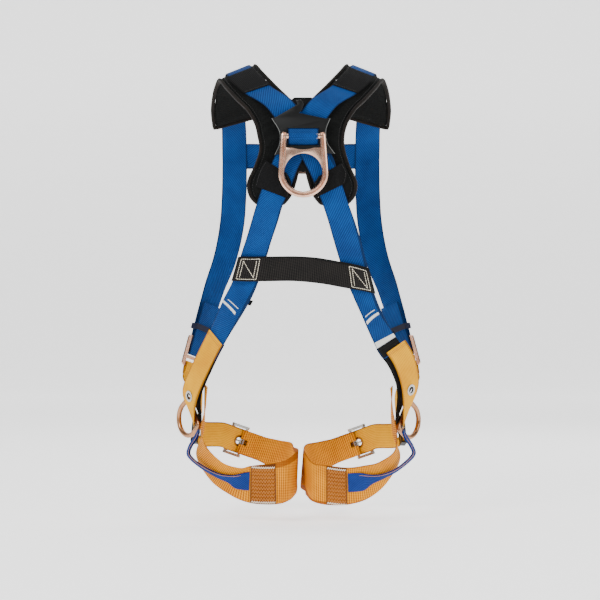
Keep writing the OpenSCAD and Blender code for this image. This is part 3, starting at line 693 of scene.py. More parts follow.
def add_mesh(name: str, points: Sequence, faces: Sequence, finish: Finish, uv: np.ndarray | None = None,
             angle: float = 38.0) -> bpy.types.Object:
    """Makes a piece from points in millimetres.

    Args:
        name: The piece's name.
        points: Its corners.
        faces: Its faces by corner number.
        finish: Its finish.
        uv: Metres across and along at each corner, where the finish follows them.
        angle: Sharper bends than this many degrees stay sharp.

    Returns:
        The new object.
    """
    mesh = bpy.data.meshes.new(name)
    mesh.from_pydata((np.array(points, float) * MM).tolist(), [], [list(map(int, f)) for f in faces])
    if uv is not None:
        layer = mesh.uv_layers.new(name="UVMap")
        loops = np.zeros(len(mesh.loops), int)
        mesh.loops.foreach_get("vertex_index", loops)
        layer.data.foreach_set("uv", uv[loops].astype(np.float32).ravel())
    mesh.update()
    piece = bpy.data.objects.new(name, mesh)
    bpy.context.scene.collection.objects.link(piece)
    mesh.materials.append(Shelf.get(finish))
    smooth(piece, angle)
    return piece


def only(piece: bpy.types.Object) -> None:
    """Selects one piece and makes it active."""
    bpy.ops.object.select_all(action="DESELECT")
    piece.select_set(True)
    bpy.context.view_layer.objects.active = piece


def smooth(piece: bpy.types.Object, angle: float = 38.0) -> None:
    """Smooth shading with sharp bends kept."""
    only(piece)
    bpy.ops.object.shade_smooth_by_angle(angle=math.radians(angle))


def apply_modifiers(piece: bpy.types.Object) -> None:
    """Applies each of the piece's modifiers in turn."""
    only(piece)
    for modifier in list(piece.modifiers):
        bpy.ops.object.modifier_apply(modifier=modifier.name)


def settle(piece: bpy.types.Object, body: str, slot: str, *nodes: str) -> bpy.types.Object:
    """Fixes a piece to its place in the frame.

    Args:
        piece: The finished piece.
        body: The body that it rides on.
        slot: Its material slot; not used.
        *nodes: The CAD nodes that it stands for.

    Returns:
        The piece.
    """
    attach(piece, body)
    if nodes:
        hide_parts(*nodes)
    LOG.info("%s: %d faces on %s", piece.name, len(piece.data.polygons), body)
    return piece


FLAT_SECTION = [
    (0.012, 0.14), (0.035, 0.0), (0.34, 0.0), (0.66, 0.0), (0.965, 0.0), (0.988, 0.14), (1.0, 0.5),
    (0.988, 0.86), (0.965, 1.0), (0.82, 1.0), (0.66, 1.0), (0.5, 1.0), (0.34, 1.0), (0.18, 1.0),
    (0.035, 1.0), (0.012, 0.86), (0.0, 0.5),
]


@dataclass
class Strap:
    """A strap along two edges, with its height off them by station."""

    rails: list
    first: float
    last: float
    lift: list | float = 0.0
    thick: list | float = WEB_T
    inset: float = 0.0
    shift: list | float = 0.0
    step: float = 4.0
    wave: float = 0.0
    array: np.ndarray = field(init=False)
    stations: np.ndarray = field(init=False)
    lengths: np.ndarray = field(init=False)

    def __post_init__(self) -> None:
        """Measures the strap along its middle."""
        self.array = np.array(self.rails, float)
        self.stations = np.linspace(self.first, self.last, int((self.last - self.first) * 16) + 2)
        middles = np.array([self.face(s, 0.5, 0.0) for s in self.stations])
        steps = np.linalg.norm(np.diff(middles, axis=0), axis=1)
        self.lengths = np.concatenate([[0.0], np.cumsum(steps)])

    def value(self, quantity: list | float, s: float) -> float:
        """A height, width or shift at a station."""
        return ramp(s, quantity) if isinstance(quantity, list) else quantity

    def frame(self, s: float) -> tuple[np.ndarray, np.ndarray, np.ndarray]:
        """The strap's frame at a station.

        Args:
            s: The station.

        Returns:
            Its two edges and the outward direction.
        """
        a, b = spline(self.array, s)
        near, far = spline(self.array, s - 0.05), spline(self.array, s + 0.05)
        side = unit(b - a)
        out = unit(np.cross(far.sum(0) - near.sum(0), side))
        move, cut = self.value(self.shift, s), self.inset
        return a + side * (cut + move), b - side * (cut - move), out

    def face(self, s: float, share: float, height: float) -> np.ndarray:
        """A point at a share of the width and a height over the outer face."""
        a, b, out = self.frame(s)
        return mix(a, b, share) + out * (self.value(self.lift, s) + self.value(self.thick, s) + height)

    def station(self, length: float) -> float:
        """The station at a length in millimetres from the start."""
        return float(np.interp(length, self.lengths, self.stations))

    def length(self, s: float) -> float:
        """The length in millimetres at a station."""
        return float(np.interp(s, self.stations, self.lengths))

    def spot(self, length: float, across: float, height: float) -> tuple[np.ndarray, np.ndarray]:
        """A point over the outer face.

        Args:
            length: Millimetres along the strap.
            across: Millimetres from its first edge.
            height: Millimetres over the face.

        Returns:
            The point and the outward direction there.
        """
        s = self.station(length)
        a, b, out = self.frame(s)
        share = across / np.linalg.norm(b - a)
        return mix(a, b, share) + out * (self.value(self.lift, s) + self.value(self.thick, s) + height), out

    def width(self, s: float) -> float:
        """The strap's width at a station."""
        a, b, _ = self.frame(s)
        return float(np.linalg.norm(b - a))

    def build(self, name: str, finish: Finish, section: list = FLAT_SECTION) -> bpy.types.Object:
        """The strap's mesh with its map across and along.

        Args:
            name: The piece's name.
            finish: Its finish.
            section: Its cross-section as shares of width and thickness.

        Returns:
            The new object.
        """
        count = max(2, int(self.lengths[-1] / self.step))
        sides = len(section)
        points, uv = [], []
        for k in range(count + 1):
            length = self.lengths[-1] * k / count
            s = self.station(length)
            a, b, out = self.frame(s)
            lift, thick = self.value(self.lift, s), self.value(self.thick, s)
            lift += self.wave * (math.sin(length * 0.11) + math.sin(length * 0.047 + 1.3))
            width = np.linalg.norm(b - a)
            for u, h in section:
                points.append(mix(a, b, u) + out * (lift + thick * h))
                uv.append((u * width * MM, length * MM))
        faces = []
        for k in range(count):
            for j in range(sides):
                j2 = (j + 1) % sides
                p, q = k * sides, (k + 1) * sides
                faces.append((p + j, p + j2, q + j2, q + j))
        faces.append(tuple(range(sides - 1, -1, -1)))
        faces.append(tuple(count * sides + j for j in range(sides)))
        return add_mesh(name, points, faces, finish, np.array(uv))


class Sewing:
    """Gathers stitches into one piece of small thread loops."""

    def __init__(self, name: str, finish: Finish, radius: float = 0.45) -> None:
        """Starts an empty seam."""
        self.name, self.finish, self.radius = name, finish, radius
        self.points: list = []
        self.faces: list = []

    def stitch(self, start: np.ndarray, end: np.ndarray, out: np.ndarray) -> None:
        """One stitch, its ends sunk into the cloth.

        Args:
            start: Where it comes up.
            end: Where it goes down.
            out: The outward direction.
        """
        along = unit(end - start)
        side = np.cross(out, along)
        base = len(self.points)
        for t, height, size in ((0.0, -0.5, 0.5), (0.2, 0.35, 1.0), (0.8, 0.35, 1.0), (1.0, -0.5, 0.5)):
            centre = mix(start, end, t) + out * height * self.radius
            for k in range(6):
                angle = k * math.pi / 3
                ring = side * math.cos(angle) + out * math.sin(angle)
                self.points.append(centre + ring * self.radius * size)
        for r in range(3):
            for k in range(6):
                a, b = base + r * 6 + k, base + r * 6 + (k + 1) % 6
                self.faces.append((a, b, b + 6, a + 6))
        self.faces.append(tuple(base + k for k in range(5, -1, -1)))
        self.faces.append(tuple(base + 18 + k for k in range(6)))

    def line(self, strap: Strap, corners: Sequence, pitch: float = 3.4, gap: float = 0.8) -> None:
        """A row of stitches along straight legs on a strap.

        Args:
            strap: The strap.
            corners: Points in millimetres (along, across).
            pitch: The distance from stitch to stitch.
            gap: The space between two stitches.
        """
        for (l0, a0), (l1, a1) in zip(corners[:-1], corners[1:]):
            run = math.hypot(l1 - l0, a1 - a0)
            count = max(1, round(run / pitch))
            for k in range(count):
                t0, t1 = k / count, (k + 1) / count - gap / run
                p0, out = strap.spot(mix(l0, l1, t0), mix(a0, a1, t0), 0.05)
                p1, _ = strap.spot(mix(l0, l1, t1), mix(a0, a1, t1), 0.05)
                if np.linalg.norm(p1 - p0) > 0.2:
                    self.stitch(p0, p1, out)

    def box(self, strap: Strap, start: float, end: float, left: float, right: float) -> None:
        """A sewn box with a zig-zag inside it.

        Args:
            strap: The strap.
            start: Where it starts along the strap.
            end: Where it ends along the strap.
            left: Its side nearer the first edge.
            right: Its other side.
        """
        self.line(strap, [(start, left), (start, right), (end, right), (end, left), (start, left)])
        near, far = mix(start, end, 0.15), mix(start, end, 0.85)
        self.line(strap, [(near, left + 3), (near, right - 3), (far, left + 3), (far, right - 3)])

    def zigzag(self, strap: Strap, start: tuple, end: tuple, width: float, pitch: float) -> None:
        """Dense zig-zag stitches along a line.

        Args:
            strap: The strap.
            start: Where the line starts, as (along, across).
            end: Where it ends.
            width: How wide the zig-zag is.
            pitch: The distance from turn to turn.
        """
        run = vec(end[0] - start[0], end[1] - start[1])
        size = float(np.linalg.norm(run))
        ahead, side = run / size, vec(-run[1], run[0]) / size
        count = max(2, int(size / pitch))
        corners = [
            tuple(vec(*start) + ahead * size * k / count + side * width / 2 * (1 if k % 2 else -1))
            for k in range(count + 1)
        ]
        self.line(strap, corners, pitch=width * 3, gap=0.0)

    def done(self, body: str = ROOT, slot: str = "tan_stitching") -> bpy.types.Object:
        """The finished seam as a piece."""
        piece = add_mesh(self.name, self.points, self.faces, self.finish, angle=60.0)
        return settle(piece, body, slot)


def tube(name: str, path: np.ndarray, radius: float, finish: Finish, closed: bool = False,
         sides: int = 8, flat: float = 1.0, outs: np.ndarray | None = None) -> bpy.types.Object:
    """A round or flattened cord along a path.

    Args:
        name: The piece's name.
        path: Its points in millimetres.
        radius: Its radius, measured along the path's outward direction.
        finish: Its finish.
        closed: Whether the path's ends meet.
        sides: The number of sides.
        flat: The other radius as a share of the first.
        outs: The outward direction at each point.

    Returns:
        The new object.
    """
    count = len(path)
    points, faces, uv = [], [], []
    length = 0.0
    for i in range(count):
        before = path[i - 1] if closed or i > 0 else path[i]
        after = path[(i + 1) % count] if closed or i < count - 1 else path[i]
        ahead = unit(after - before)
        out = outs[i] if outs is not None else unit(np.cross(ahead, vec(0.3, 0.2, 0.93)))
        side = unit(np.cross(out, ahead))
        out = np.cross(ahead, side)
        length += np.linalg.norm(path[i] - path[i - 1]) if i else 0.0
        for k in range(sides):
            angle = 2 * math.pi * k / sides
            points.append(path[i] + (side * math.cos(angle) * flat + out * math.sin(angle)) * radius)
            uv.append((k / sides * radius * 6.28 * MM, length * MM))
    for i in range(count if closed else count - 1):
        for k in range(sides):
            a, b = i * sides + k, i * sides + (k + 1) % sides
            c, d = ((i + 1) % count) * sides + (k + 1) % sides, ((i + 1) % count) * sides + k
            faces.append((a, b, c, d))
    if not closed:
        faces.append(tuple(range(sides - 1, -1, -1)))
        faces.append(tuple((count - 1) * sides + k for k in range(sides)))
    return add_mesh(name, points, faces, finish, np.array(uv), angle=60.0)


# ---------------------------------------------------------------- shoulder pads

PAD_SECTION = [
    (0.05, 0.0), (0.35, 0.0), (0.65, 0.0), (0.95, 0.0), (1.0, 0.28), (1.0, 0.66), (0.95, 0.95),
    (0.65, 1.0), (0.35, 1.0), (0.05, 0.95), (0.0, 0.66), (0.0, 0.28),
]


@dataclass
class ShoulderPad:
    """A flat foam pad in spacer mesh, bound round its edge."""

    side: str
    rails: list
    voxel: float = 4.5
    pressure: float = 4.0
    frames: int = 20
    swell: float = 1.3
    binding_h: float = 5.0
    binding_w: float = 3.2

    def build(self) -> None:
        """Makes the pad, its binding and its seam."""
        shape = Strap(self.rails, 0, len(self.rails) - 1, 0.9, 8.2, inset=0.2, step=6)
        pad = shape.build(f"shoulder_pad_{self.side}_foam", Finish.PAD, PAD_SECTION)
        self.puff(pad)
        smooth(pad, 60)
        settle(pad, ROOT, "pad_fabric", f"shoulder_pad_{self.side}")
        path, outs = self.rim()
        ring = tube(f"pad_binding_{self.side}", path, self.binding_h, Finish.BINDING, closed=True, sides=12,
                    flat=self.binding_w / self.binding_h, outs=outs)
        settle(ring, ROOT, "pad_fabric")
        seam = Sewing(f"pad_seam_{self.side}", Finish.BLACK_THREAD, 0.4)
        whole = Strap(self.rails, 0, len(self.rails) - 1, 0, PAD_T)
        end = whole.lengths[-1]
        for across in (7.0, -7.0):
            count = int((end - 14) / 4.2)
            for k in range(count):
                places = []
                for length in (7 + k * 4.2, 7 + k * 4.2 + 3.2):
                    width = whole.width(whole.station(length))
                    point, out = whole.spot(length, across if across > 0 else width + across, 6)
                    places.append(self.drop(pad, point, out))
                seam.stitch(places[0], places[1], out)
        seam.done(slot="pad_fabric")

    def puff(self, pad: bpy.types.Object) -> None:
        """Swells the pad by cloth simulation, within its cap.

        Args:
            pad: The closed pad.
        """
        only(pad)
        remesh = pad.modifiers.new("Remesh", "REMESH")
        remesh.mode = "VOXEL"
        remesh.voxel_size = self.voxel * MM
        bpy.ops.object.modifier_apply(modifier=remesh.name)
        rest = np.zeros(len(pad.data.vertices) * 3)
        pad.data.vertices.foreach_get("co", rest)
        cloth = pad.modifiers.new("Cloth", "CLOTH")
        cloth.settings.use_pressure = True
        cloth.settings.uniform_pressure_force = self.pressure
        cloth.settings.effector_weights.gravity = 0
        cloth.settings.quality = 5
        for number in range(1, self.frames + 1):
            bpy.context.scene.frame_set(number)
        bpy.ops.object.modifier_apply(modifier=cloth.name)
        bpy.context.scene.frame_set(1)
        swollen = np.zeros_like(rest)
        pad.data.vertices.foreach_get("co", swollen)
        move = (swollen - rest).reshape(-1, 3)
        size = np.linalg.norm(move, axis=1, keepdims=True)
        move *= np.minimum(1.0, self.swell * MM / np.maximum(size, 1e-9))
        pad.data.vertices.foreach_set("co", rest + move.ravel())
        pad.data.update()
        LOG.info("%s: cloth moved %.1f mm at most before its cap of %.1f mm", pad.name,
                 size.max() / MM, self.swell)
        finer = pad.modifiers.new("Subdivision", "SUBSURF")
        finer.levels = finer.render_levels = 1
        apply_modifiers(pad)

    def rim(self) -> tuple[np.ndarray, np.ndarray]:
        """The line round the pad's edge.

        Returns:
            Its points and the outward direction at each.
        """
        whole = Strap(self.rails, 0, len(self.rails) - 1, 0, PAD_T)
        last = len(self.rails) - 1
        path, outs = [], []
        for s, share in (
            [(s, 0.0) for s in np.linspace(0.03, last - 0.12, 130)]
            + [(last, share) for share in np.linspace(0.1, 0.9, 12)]
            + [(s, 1.0) for s in np.linspace(last - 0.12, 0.03, 130)]
            + [(0.0, share) for share in np.linspace(0.92, 0.08, 14)]
        ):
            path.append(whole.face(s, share, -PAD_T / 2))
            outs.append(whole.frame(s)[2])
        return np.array(path), np.array(outs)

    def drop(self, pad: bpy.types.Object, point: np.ndarray, out: np.ndarray) -> np.ndarray:
        """The point moved straight down onto the pad's surface."""
        hit, place, _, _ = pad.ray_cast(Vector(point * MM), Vector(-out))
        return np.array(place) / MM if hit else point - out * 7


# ---------------------------------------------------------------- body straps

@dataclass
class BodyStrap:
    """The blue strap from one adjuster over its shoulder to the opposite hip."""

    side: str
    rails: list
    over_other: float

    def strap(self) -> Strap:
        """The strap's run."""
        return Strap(self.rails, 0, WEB_END, strap_lift(self.over_other), wave=0.12)

    def build(self) -> None:
        """Makes the strap, folded round the adjuster at its lower end, with a sewn box on the chest."""
        run = self.strap()
        settle(run.build(f"main_strap_{self.side}_webbing", Finish.BLUE), ROOT, "blue_webbing",
               f"main_strap_{self.side}")
        chest = Sewing(f"chest_box_{self.side}", Finish.WHITE_THREAD)
        start = run.length(CHEST_END - 1.1)
        chest.box(run, start + 8, start + 38, 5, WEB_W - 5)
        chest.done()


@dataclass
class Shoulders:
    """The sleeves over the straps, the pads' pockets and the backing between them."""

    def build(self) -> None:
        """Makes each cover."""
        lift = SHOULDER_LIFT + WEB_T + 0.5
        for side, rails in (("left", FRONT_OVER), ("right", flip_rails(FRONT_OVER))):
            sleeve = Strap(rails, PE - 3.45, PE - 2, lift, 1.4, inset=-1.5, step=3, wave=0.1)
            settle(sleeve.build(f"shoulder_sleeve_{side}_webbing", Finish.SLEEVE), ROOT, "black_webbing",
                   f"shoulder_sleeve_{side}")
            seam = Sewing(f"sleeve_seams_{side}", Finish.BLACK_THREAD, 0.4)
            end, wide = sleeve.lengths[-1], WEB_W + 3
            for at in (3.0, end - 3):
                seam.line(sleeve, [(at, 3), (at, wide - 3)])
            seam.done(slot="black_webbing")
        for side, rails in (("left", self.pocket_left()), ("right", self.pocket_right())):
            pocket = Strap(rails, 0, 2, [
                (0, CROSS_LIFT + WEB_T + 0.5), (1, CROSS_LIFT + WEB_T - 0.4),
                (2, SHOULDER_LIFT + WEB_T + 0.5),
            ], 1.4, step=3)
            settle(pocket.build(f"pad_pocket_{side}_webbing", Finish.SLEEVE), ROOT, "black_webbing",
                   f"pad_pocket_{side}")
            seam = Sewing(f"pocket_seams_{side}", Finish.BLACK_THREAD, 0.45)
            for across in (3.0, -3.0):
                corners = []
                for share in np.linspace(0.05, 0.95, 8):
                    length = pocket.lengths[-1] * share
                    width = pocket.width(pocket.station(length))
                    corners.append((length, across if across > 0 else width + across))
                seam.line(pocket, corners)
            seam.done(slot="black_webbing")
        backing = Strap([
            [spine(-12, 702), spine(18, 702)], [spine(-28, 684), spine(34, 684)],
            [spine(-34, 648), spine(39, 648)], [spine(-38, 612), spine(44, 612)],
            [spine(-10, 576), spine(18, 576)],
        ], 0, 4, BACKING_OUT - 1.6, 1.6, step=3)
        settle(backing.build("dorsal_backing_webbing", Finish.SLEEVE), ROOT, "black_webbing",
               "dorsal_backing")

    def pocket_left(self) -> list:
        """Edges of the left pad's pocket."""
        spots = (((-62, 596), (-24, 573)), ((-74, 574), (-17, 556)), ((-80, 552), (-22, 530)))
        return [[back(*a), back(*b)] for a, b in spots]

    def pocket_right(self) -> list:
        """Edges of the right pad's pocket."""
        spots = (((30, 568), (72, 592)), ((22, 552), (80, 575)), ((27, 532), (76, 556)))
        return [[back(*a), back(*b)] for a, b in spots]


# ---------------------------------------------------------------- dorsal plate, ring and loop

RING_X, RING_BAR_Z, RING_HOLE_Z, RING_HOLE_R = 4.0, 636.0, 574.0, 32.6
PLATE_Y = -(100 + CROSS_LIFT + 2 * WEB_T + 4.6)
RING_Y = PLATE_Y - 6.6


def start_edit(piece: bpy.types.Object) -> None:
    """Opens one piece in edit mode with everything selected."""
    only(piece)
    bpy.ops.object.mode_set(mode="EDIT")
    bpy.ops.mesh.select_all(action="SELECT")


def end_edit() -> None:
    """Leaves edit mode."""
    bpy.ops.object.mode_set(mode="OBJECT")


def place_points(piece: bpy.types.Object, points: Sequence) -> None:
    """Moves the piece's corners to points in millimetres."""
    piece.data.vertices.foreach_set("co", (np.array(points, float) * MM).ravel())
    piece.data.update()


def cut(piece: bpy.types.Object, cutter: bpy.types.Object) -> None:
    """Takes the cutter out of the piece and removes it.

    Args:
        piece: The piece that is cut.
        cutter: The closed solid that is taken out of it.
    """
    boolean = piece.modifiers.new("Cut", "BOOLEAN")
    boolean.operation = "DIFFERENCE"
    boolean.solver = "EXACT"
    boolean.object = cutter
    only(piece)
    bpy.ops.object.modifier_apply(modifier=boolean.name)
    bpy.data.objects.remove(cutter, do_unlink=True)


def join(name: str, parts: Sequence[bpy.types.Object]) -> bpy.types.Object:
    """Joins parts into one piece with its place in its mesh.

    Args:
        name: The piece's name.
        parts: What it is made of.

    Returns:
        The piece.
    """
    bpy.ops.object.select_all(action="DESELECT")
    for part in parts:
        part.select_set(True)
    bpy.context.view_layer.objects.active = parts[0]
    if len(parts) > 1:
        bpy.ops.object.join()
    bpy.ops.object.transform_apply(location=True, rotation=True, scale=True)
    piece = bpy.context.view_layer.objects.active
    piece.name = piece.data.name = name
    return piece


def fresh_box(size: Sequence[float], centre: Sequence[float], name: str = "block") -> bpy.types.Object:
    """A block from the cube primitive.

    Args:
        size: Its sides in millimetres.
        centre: Its middle in millimetres.
        name: Its name.

    Returns:
        The block.
    """
    bpy.ops.object.select_all(action="DESELECT")
    bpy.ops.mesh.primitive_cube_add(size=1, location=tuple(np.array(centre) * MM))
    box = bpy.context.view_layer.objects.active
    box.scale = tuple(np.array(size) * MM)
    bpy.ops.object.transform_apply(location=True, rotation=True, scale=True)
    box.name = name
    return box


def fresh_cylinder(radius: float, length: float, centre: Sequence[float], out: Sequence[float],
                   sides: int = 48) -> bpy.types.Object:
    """A rod from the cylinder primitive.

    Args:
        radius: Its radius in millimetres.
        length: Its length in millimetres.
        centre: Its middle in millimetres.
        out: The direction of its axis.
        sides: The number of sides.

    Returns:
        The rod.
    """
    bpy.ops.object.select_all(action="DESELECT")
    turn = Vector(tuple(out)).to_track_quat("Z", "Y").to_euler()
    bpy.ops.mesh.primitive_cylinder_add(vertices=sides, radius=radius * MM, depth=length * MM,
                                        location=tuple(np.array(centre) * MM), rotation=turn)
    bpy.ops.object.transform_apply(location=True, rotation=True, scale=True)
    return bpy.context.view_layer.objects.active


def bevel(piece: bpy.types.Object, width: float, segments: int = 2, angle: float = 40) -> None:
    """Rounds the piece's sharp edges.

    Args:
        piece: The piece.
        width: How wide the rounding is, in millimetres.
        segments: How many faces it is made of.
        angle: Bends sharper than this many degrees are rounded.
    """
    made = piece.modifiers.new("Bevel", "BEVEL")
    made.width = width * MM
    made.segments = segments
    made.limit_method = "ANGLE"
    made.angle_limit = math.radians(angle)
    apply_modifiers(piece)


@dataclass
class DorsalPlate:
    """The black cover plate with two slots, and a painted highlight along its two side edges."""

    tilt: float = 2.0
    thick: float = 3.0
    loop_w: float = 52.0
    loop_reach: float = 13.1
    sides: list = field(default_factory=lambda: [
        [(-55, 668), (-42, 645), (-42, 623), (-50, 604)],
        [(-50, 604), (-26, 609), (0, 611), (27, 609), (55, 606)],
        [(55, 606), (42, 626), (40, 648), (47, 668)],
        [(47, 668), (38, 667.5), (-7, 677), (-2, 683), (1, 692), (-3, 700), (-13, 699), (-10, 691.6),
         (-49, 669), (-55, 668)],
    ])

    def side_line(self, number: int, inset: float = 0.0) -> list:
        """One side of the outline.

        Args:
            number: Which side.
            inset: How far inside the outline the line runs, in millimetres.

        Returns:
            Its points (x, z).
        """
        corners = np.array(self.sides[number], float)
        middle = vec(-1, 637)
        places = np.linspace(0, len(corners) - 1, 22)
        if number == 3:
            count = range(len(corners))
            places = np.linspace(0, len(corners) - 1, 3 * len(corners) - 2)
            line = [vec(*(np.interp(s, count, corners[:, axis]) for axis in (0, 1))) for s in places]
        else:
            line = [spline(corners, s) for s in places]
        return [p + unit(middle - p) * inset for p in line]

    def outer(self, p: Sequence[float], height: float = 0.0) -> np.ndarray:
        """A point on the plate's outer face, the plate leaning back at its top."""
        lean = math.tan(math.radians(self.tilt)) * (p[1] - 604)
        return vec(RING_X + p[0], PLATE_Y - height + lean, p[1])

    def build(self) -> None:
        """Makes the plate and the light tubes along its two sides that paint the highlight its edges catch.
        """
        outline = [p for number in range(4) for p in self.side_line(number)[:-1]]
        bpy.ops.object.select_all(action="DESELECT")
        bpy.ops.mesh.primitive_circle_add(vertices=len(outline), radius=0.05, fill_type="NGON")
        plate = bpy.context.view_layer.objects.active
        place_points(plate, [self.outer(p) for p in outline])
        start_edit(plate)
        bpy.ops.mesh.extrude_region_move(TRANSFORM_OT_translate={"value": (0, self.thick * MM, 0)})
        bpy.ops.mesh.select_all(action="SELECT")
        bpy.ops.mesh.normals_make_consistent(inside=False)
        end_edit()
        for z in (RING_BAR_Z - self.loop_reach, RING_BAR_Z + self.loop_reach):
            cut(plate, fresh_box((self.loop_w + 2, 15, 3.4), (RING_X, PLATE_Y + 2, z)))
        bevel(plate, 0.7)
        plate.name = plate.data.name = "dorsal_plate_moulding"
        plate.data.materials.append(Shelf.get(Finish.PLATE))
        smooth(plate, 30)
        settle(plate, ROOT, "black_plastic", "dorsal_plate")
        # Light grey tubes along the two sides: a painted highlight standing in for the light that the plate's
        # edges catch.
        edge_highlight_tubes = []
        for number in (0, 2):
            path = np.array([self.outer(p, -0.1) for p in self.side_line(number, 1.2)])
            outs = np.array([vec(0, -1, 0)] * len(path))
            edge_highlight_tubes.append(tube("pipe", path, 0.5, Finish.PLATE_EDGE, sides=8, outs=outs))
        settle(join("dorsal_plate_painted_edge_highlight", edge_highlight_tubes), ROOT, "black_plastic")


@dataclass
class DorsalLoop:
    """The blue band that holds the dorsal ring's bar to the plate."""

    bar: float = 5.35
    reach: float = 13.1
    end: float = 10.6
    width: float = 52.0

    def build(self) -> None:
        """Makes the band with a row of stitches along one edge."""
        centre = vec(RING_X, RING_Y, RING_BAR_Z)
        points = [(self.end - 1.2, self.reach), (self.end - 3, self.reach), (5.2, self.reach - 0.1)]
        lean = math.degrees(math.atan2(self.reach - self.bar, 5.2))
        for degrees in np.linspace(90 + lean * 0.6, 270 - lean * 0.6, 13):
            angle = math.radians(degrees)
            points.append((self.bar * math.cos(angle), self.bar * math.sin(angle)))
        points += [(y, -z) for y, z in reversed(points[:3])]
        rails = []
        for y, z in points:
            middle = centre + vec(0, y, z)
            rails.append([middle + vec(self.width / 2, 0, 0), middle - vec(self.width / 2, 0, 0)])
        band = Strap(rails, 0, len(rails) - 1, 0.1, WEB_T, step=1.5)
        settle(band.build("dorsal_loop_webbing", Finish.LOOP), ROOT, "blue_webbing", "dorsal_loop")
        seam = Sewing("dorsal_loop_seam", Finish.WHITE_THREAD, 0.45)
        end = band.lengths[-1]
        seam.line(band, [(end * 0.08, 2.2), (end * 0.92, 2.2)], pitch=3.0)
        seam.done()


@dataclass
class DorsalRing:
    """The forged ring: two grooved arms, a rippled lower bend, a web and the bar it hangs by."""

    bar: float = 10.8
    depth: float = 10.0
    arm_x: float = 33.0
    web_h: float = 42.5
    hollow_z: float = 99.5
    radius: float = RING_HOLE_R - 0.2 + 5.4

    def section(self) -> list:
        """The arm's cross-section.

        Returns:
            Its corners as (outwards, back to front).
        """
        half, d = self.bar / 2, self.depth / 2
        edge = [
            (-half, -d + 2.6), (-half + 0.8, -d + 0.9), (-half + 2.2, -d), (-1.9, -d + 0.1), (-1.3, -d + 0.9),
            (-0.7, -d + 0.1), (0.9, -d), (1.5, -d + 0.9), (2.1, -d + 0.1), (half - 1.4, -d + 0.5),
            (half - 0.5, -d + 1.3), (half, -d + 2.8),
        ]
        return edge + [(x, -y) for x, y in reversed(edge)]

    def spot(self, angle: float, out: float, y: float) -> np.ndarray:
        """A point of the bend at an angle from straight down."""
        r = self.radius + out
        return vec(RING_X + r * math.sin(angle), RING_Y + y, RING_HOLE_Z - r * math.cos(angle))

    def half(self) -> bpy.types.Object:
        """One half of the ring: the section spun up from the bottom and drawn out along the arm.

        Returns:
            The half, open at the bottom.
        """
        lean = math.atan((self.radius - self.arm_x) / (RING_BAR_Z - RING_HOLE_Z))
        section = self.section()
        bpy.ops.object.select_all(action="DESELECT")
        bpy.ops.mesh.primitive_circle_add(vertices=len(section), radius=0.005, fill_type="NOTHING")
        piece = bpy.context.view_layer.objects.active
        place_points(piece, [self.spot(0.0, out, y) for out, y in section])
        start_edit(piece)
        bpy.ops.mesh.spin(steps=40, angle=-(math.pi / 2 + lean), use_auto_merge=False,
                          center=tuple(vec(RING_X, RING_Y, RING_HOLE_Z) * MM), axis=(0, 1, 0))
        length = (RING_BAR_Z - RING_HOLE_Z) / math.cos(lean) + 4.2
        turned = math.copysign(1, self.top_centre(piece)[0] - RING_X * MM)
        rise = vec(-turned * math.sin(lean), 0, math.cos(lean))
        for share in (0.5, 0.42, 0.05, 0.03):
            bpy.ops.mesh.extrude_region_move(
                TRANSFORM_OT_translate={"value": tuple(rise * length * share * MM)})
            if share < 0.1:
                top = self.top_centre(piece)
                bpy.ops.transform.resize(value=(0.9 if share == 0.05 else 0.72,) * 3, center_override=top)
        bpy.ops.mesh.edge_face_add()
        bpy.ops.mesh.select_all(action="SELECT")
        bpy.ops.mesh.remove_doubles(threshold=0.00001)
        bpy.ops.mesh.normals_make_consistent(inside=False)
        end_edit()
        return piece

    def top_centre(self, piece: bpy.types.Object) -> tuple:
        """The middle of the selected ring of corners, in metres."""
        piece.update_from_editmode()
        chosen = [v.co for v in piece.data.vertices if v.select]
        return tuple(sum(chosen, Vector()) / len(chosen))

    def ripple(self, piece: bpy.types.Object) -> None:
        """Raises small ribs across the lower bend.

        Args:
            piece: The bent bar.
        """
        for corner in piece.data.vertices:
            x, z = corner.co.x / MM - RING_X, corner.co.z / MM - RING_HOLE_Z
            if z < 0 and math.hypot(x, z) > RING_HOLE_R:
                angle = math.atan2(x, -z)
                fade = max(0.0, 1.0 - abs(angle) / 1.05)
                push = 0.28 * fade ** 0.5 * math.sin(angle * 46)
                corner.co.y += math.copysign(push, corner.co.y / MM - RING_Y) * MM

    def web(self) -> bpy.types.Object:
        """The plate between the arms, hollowed above and below.

        Returns:
            The plate.
        """
        web = fresh_box((64, 6, self.web_h), (RING_X, RING_Y, RING_HOLE_Z + self.web_h / 2), "web")
        cut(web, fresh_cylinder(RING_HOLE_R + 0.1, 20, (RING_X, RING_Y, RING_HOLE_Z), (0, 1, 0), 96))
        cut(web, fresh_cylinder(60, 20, (RING_X, RING_Y, RING_HOLE_Z + self.hollow_z), (0, 1, 0), 128))
        bevel(web, 0.8)
        return web

    def build(self) -> None:
        """Makes the whole ring."""
        half = self.half()
        mirror = half.modifiers.new("Mirror", "MIRROR")
        mirror.use_axis[0] = True
        centre = bpy.data.objects.new("mirror_centre", None)
        bpy.context.scene.collection.objects.link(centre)
        centre.location.x = RING_X * MM
        bpy.context.view_layer.update()
        mirror.mirror_object = centre
        mirror.merge_threshold = 0.0002
        apply_modifiers(half)
        bpy.data.objects.remove(centre, do_unlink=True)
        self.ripple(half)
        start_edit(half)
        bpy.ops.mesh.remove_doubles(threshold=0.00002)
        bpy.ops.mesh.normals_make_consistent(inside=False)
        end_edit()
        rod = fresh_cylinder(4.9, 2 * self.arm_x, (RING_X, RING_Y, RING_BAR_Z), (1, 0, 0))
        ring = join("dorsal_ring_forging", [half, self.web(), rod])
        ring.data.materials.clear()
        ring.data.materials.append(Shelf.get(Finish.ZINC))
        smooth(ring, 34)
        settle(ring, "dorsal_ring", "zinc_steel", "dorsal_ring")


# ---------------------------------------------------------------- lumbar strap and marks

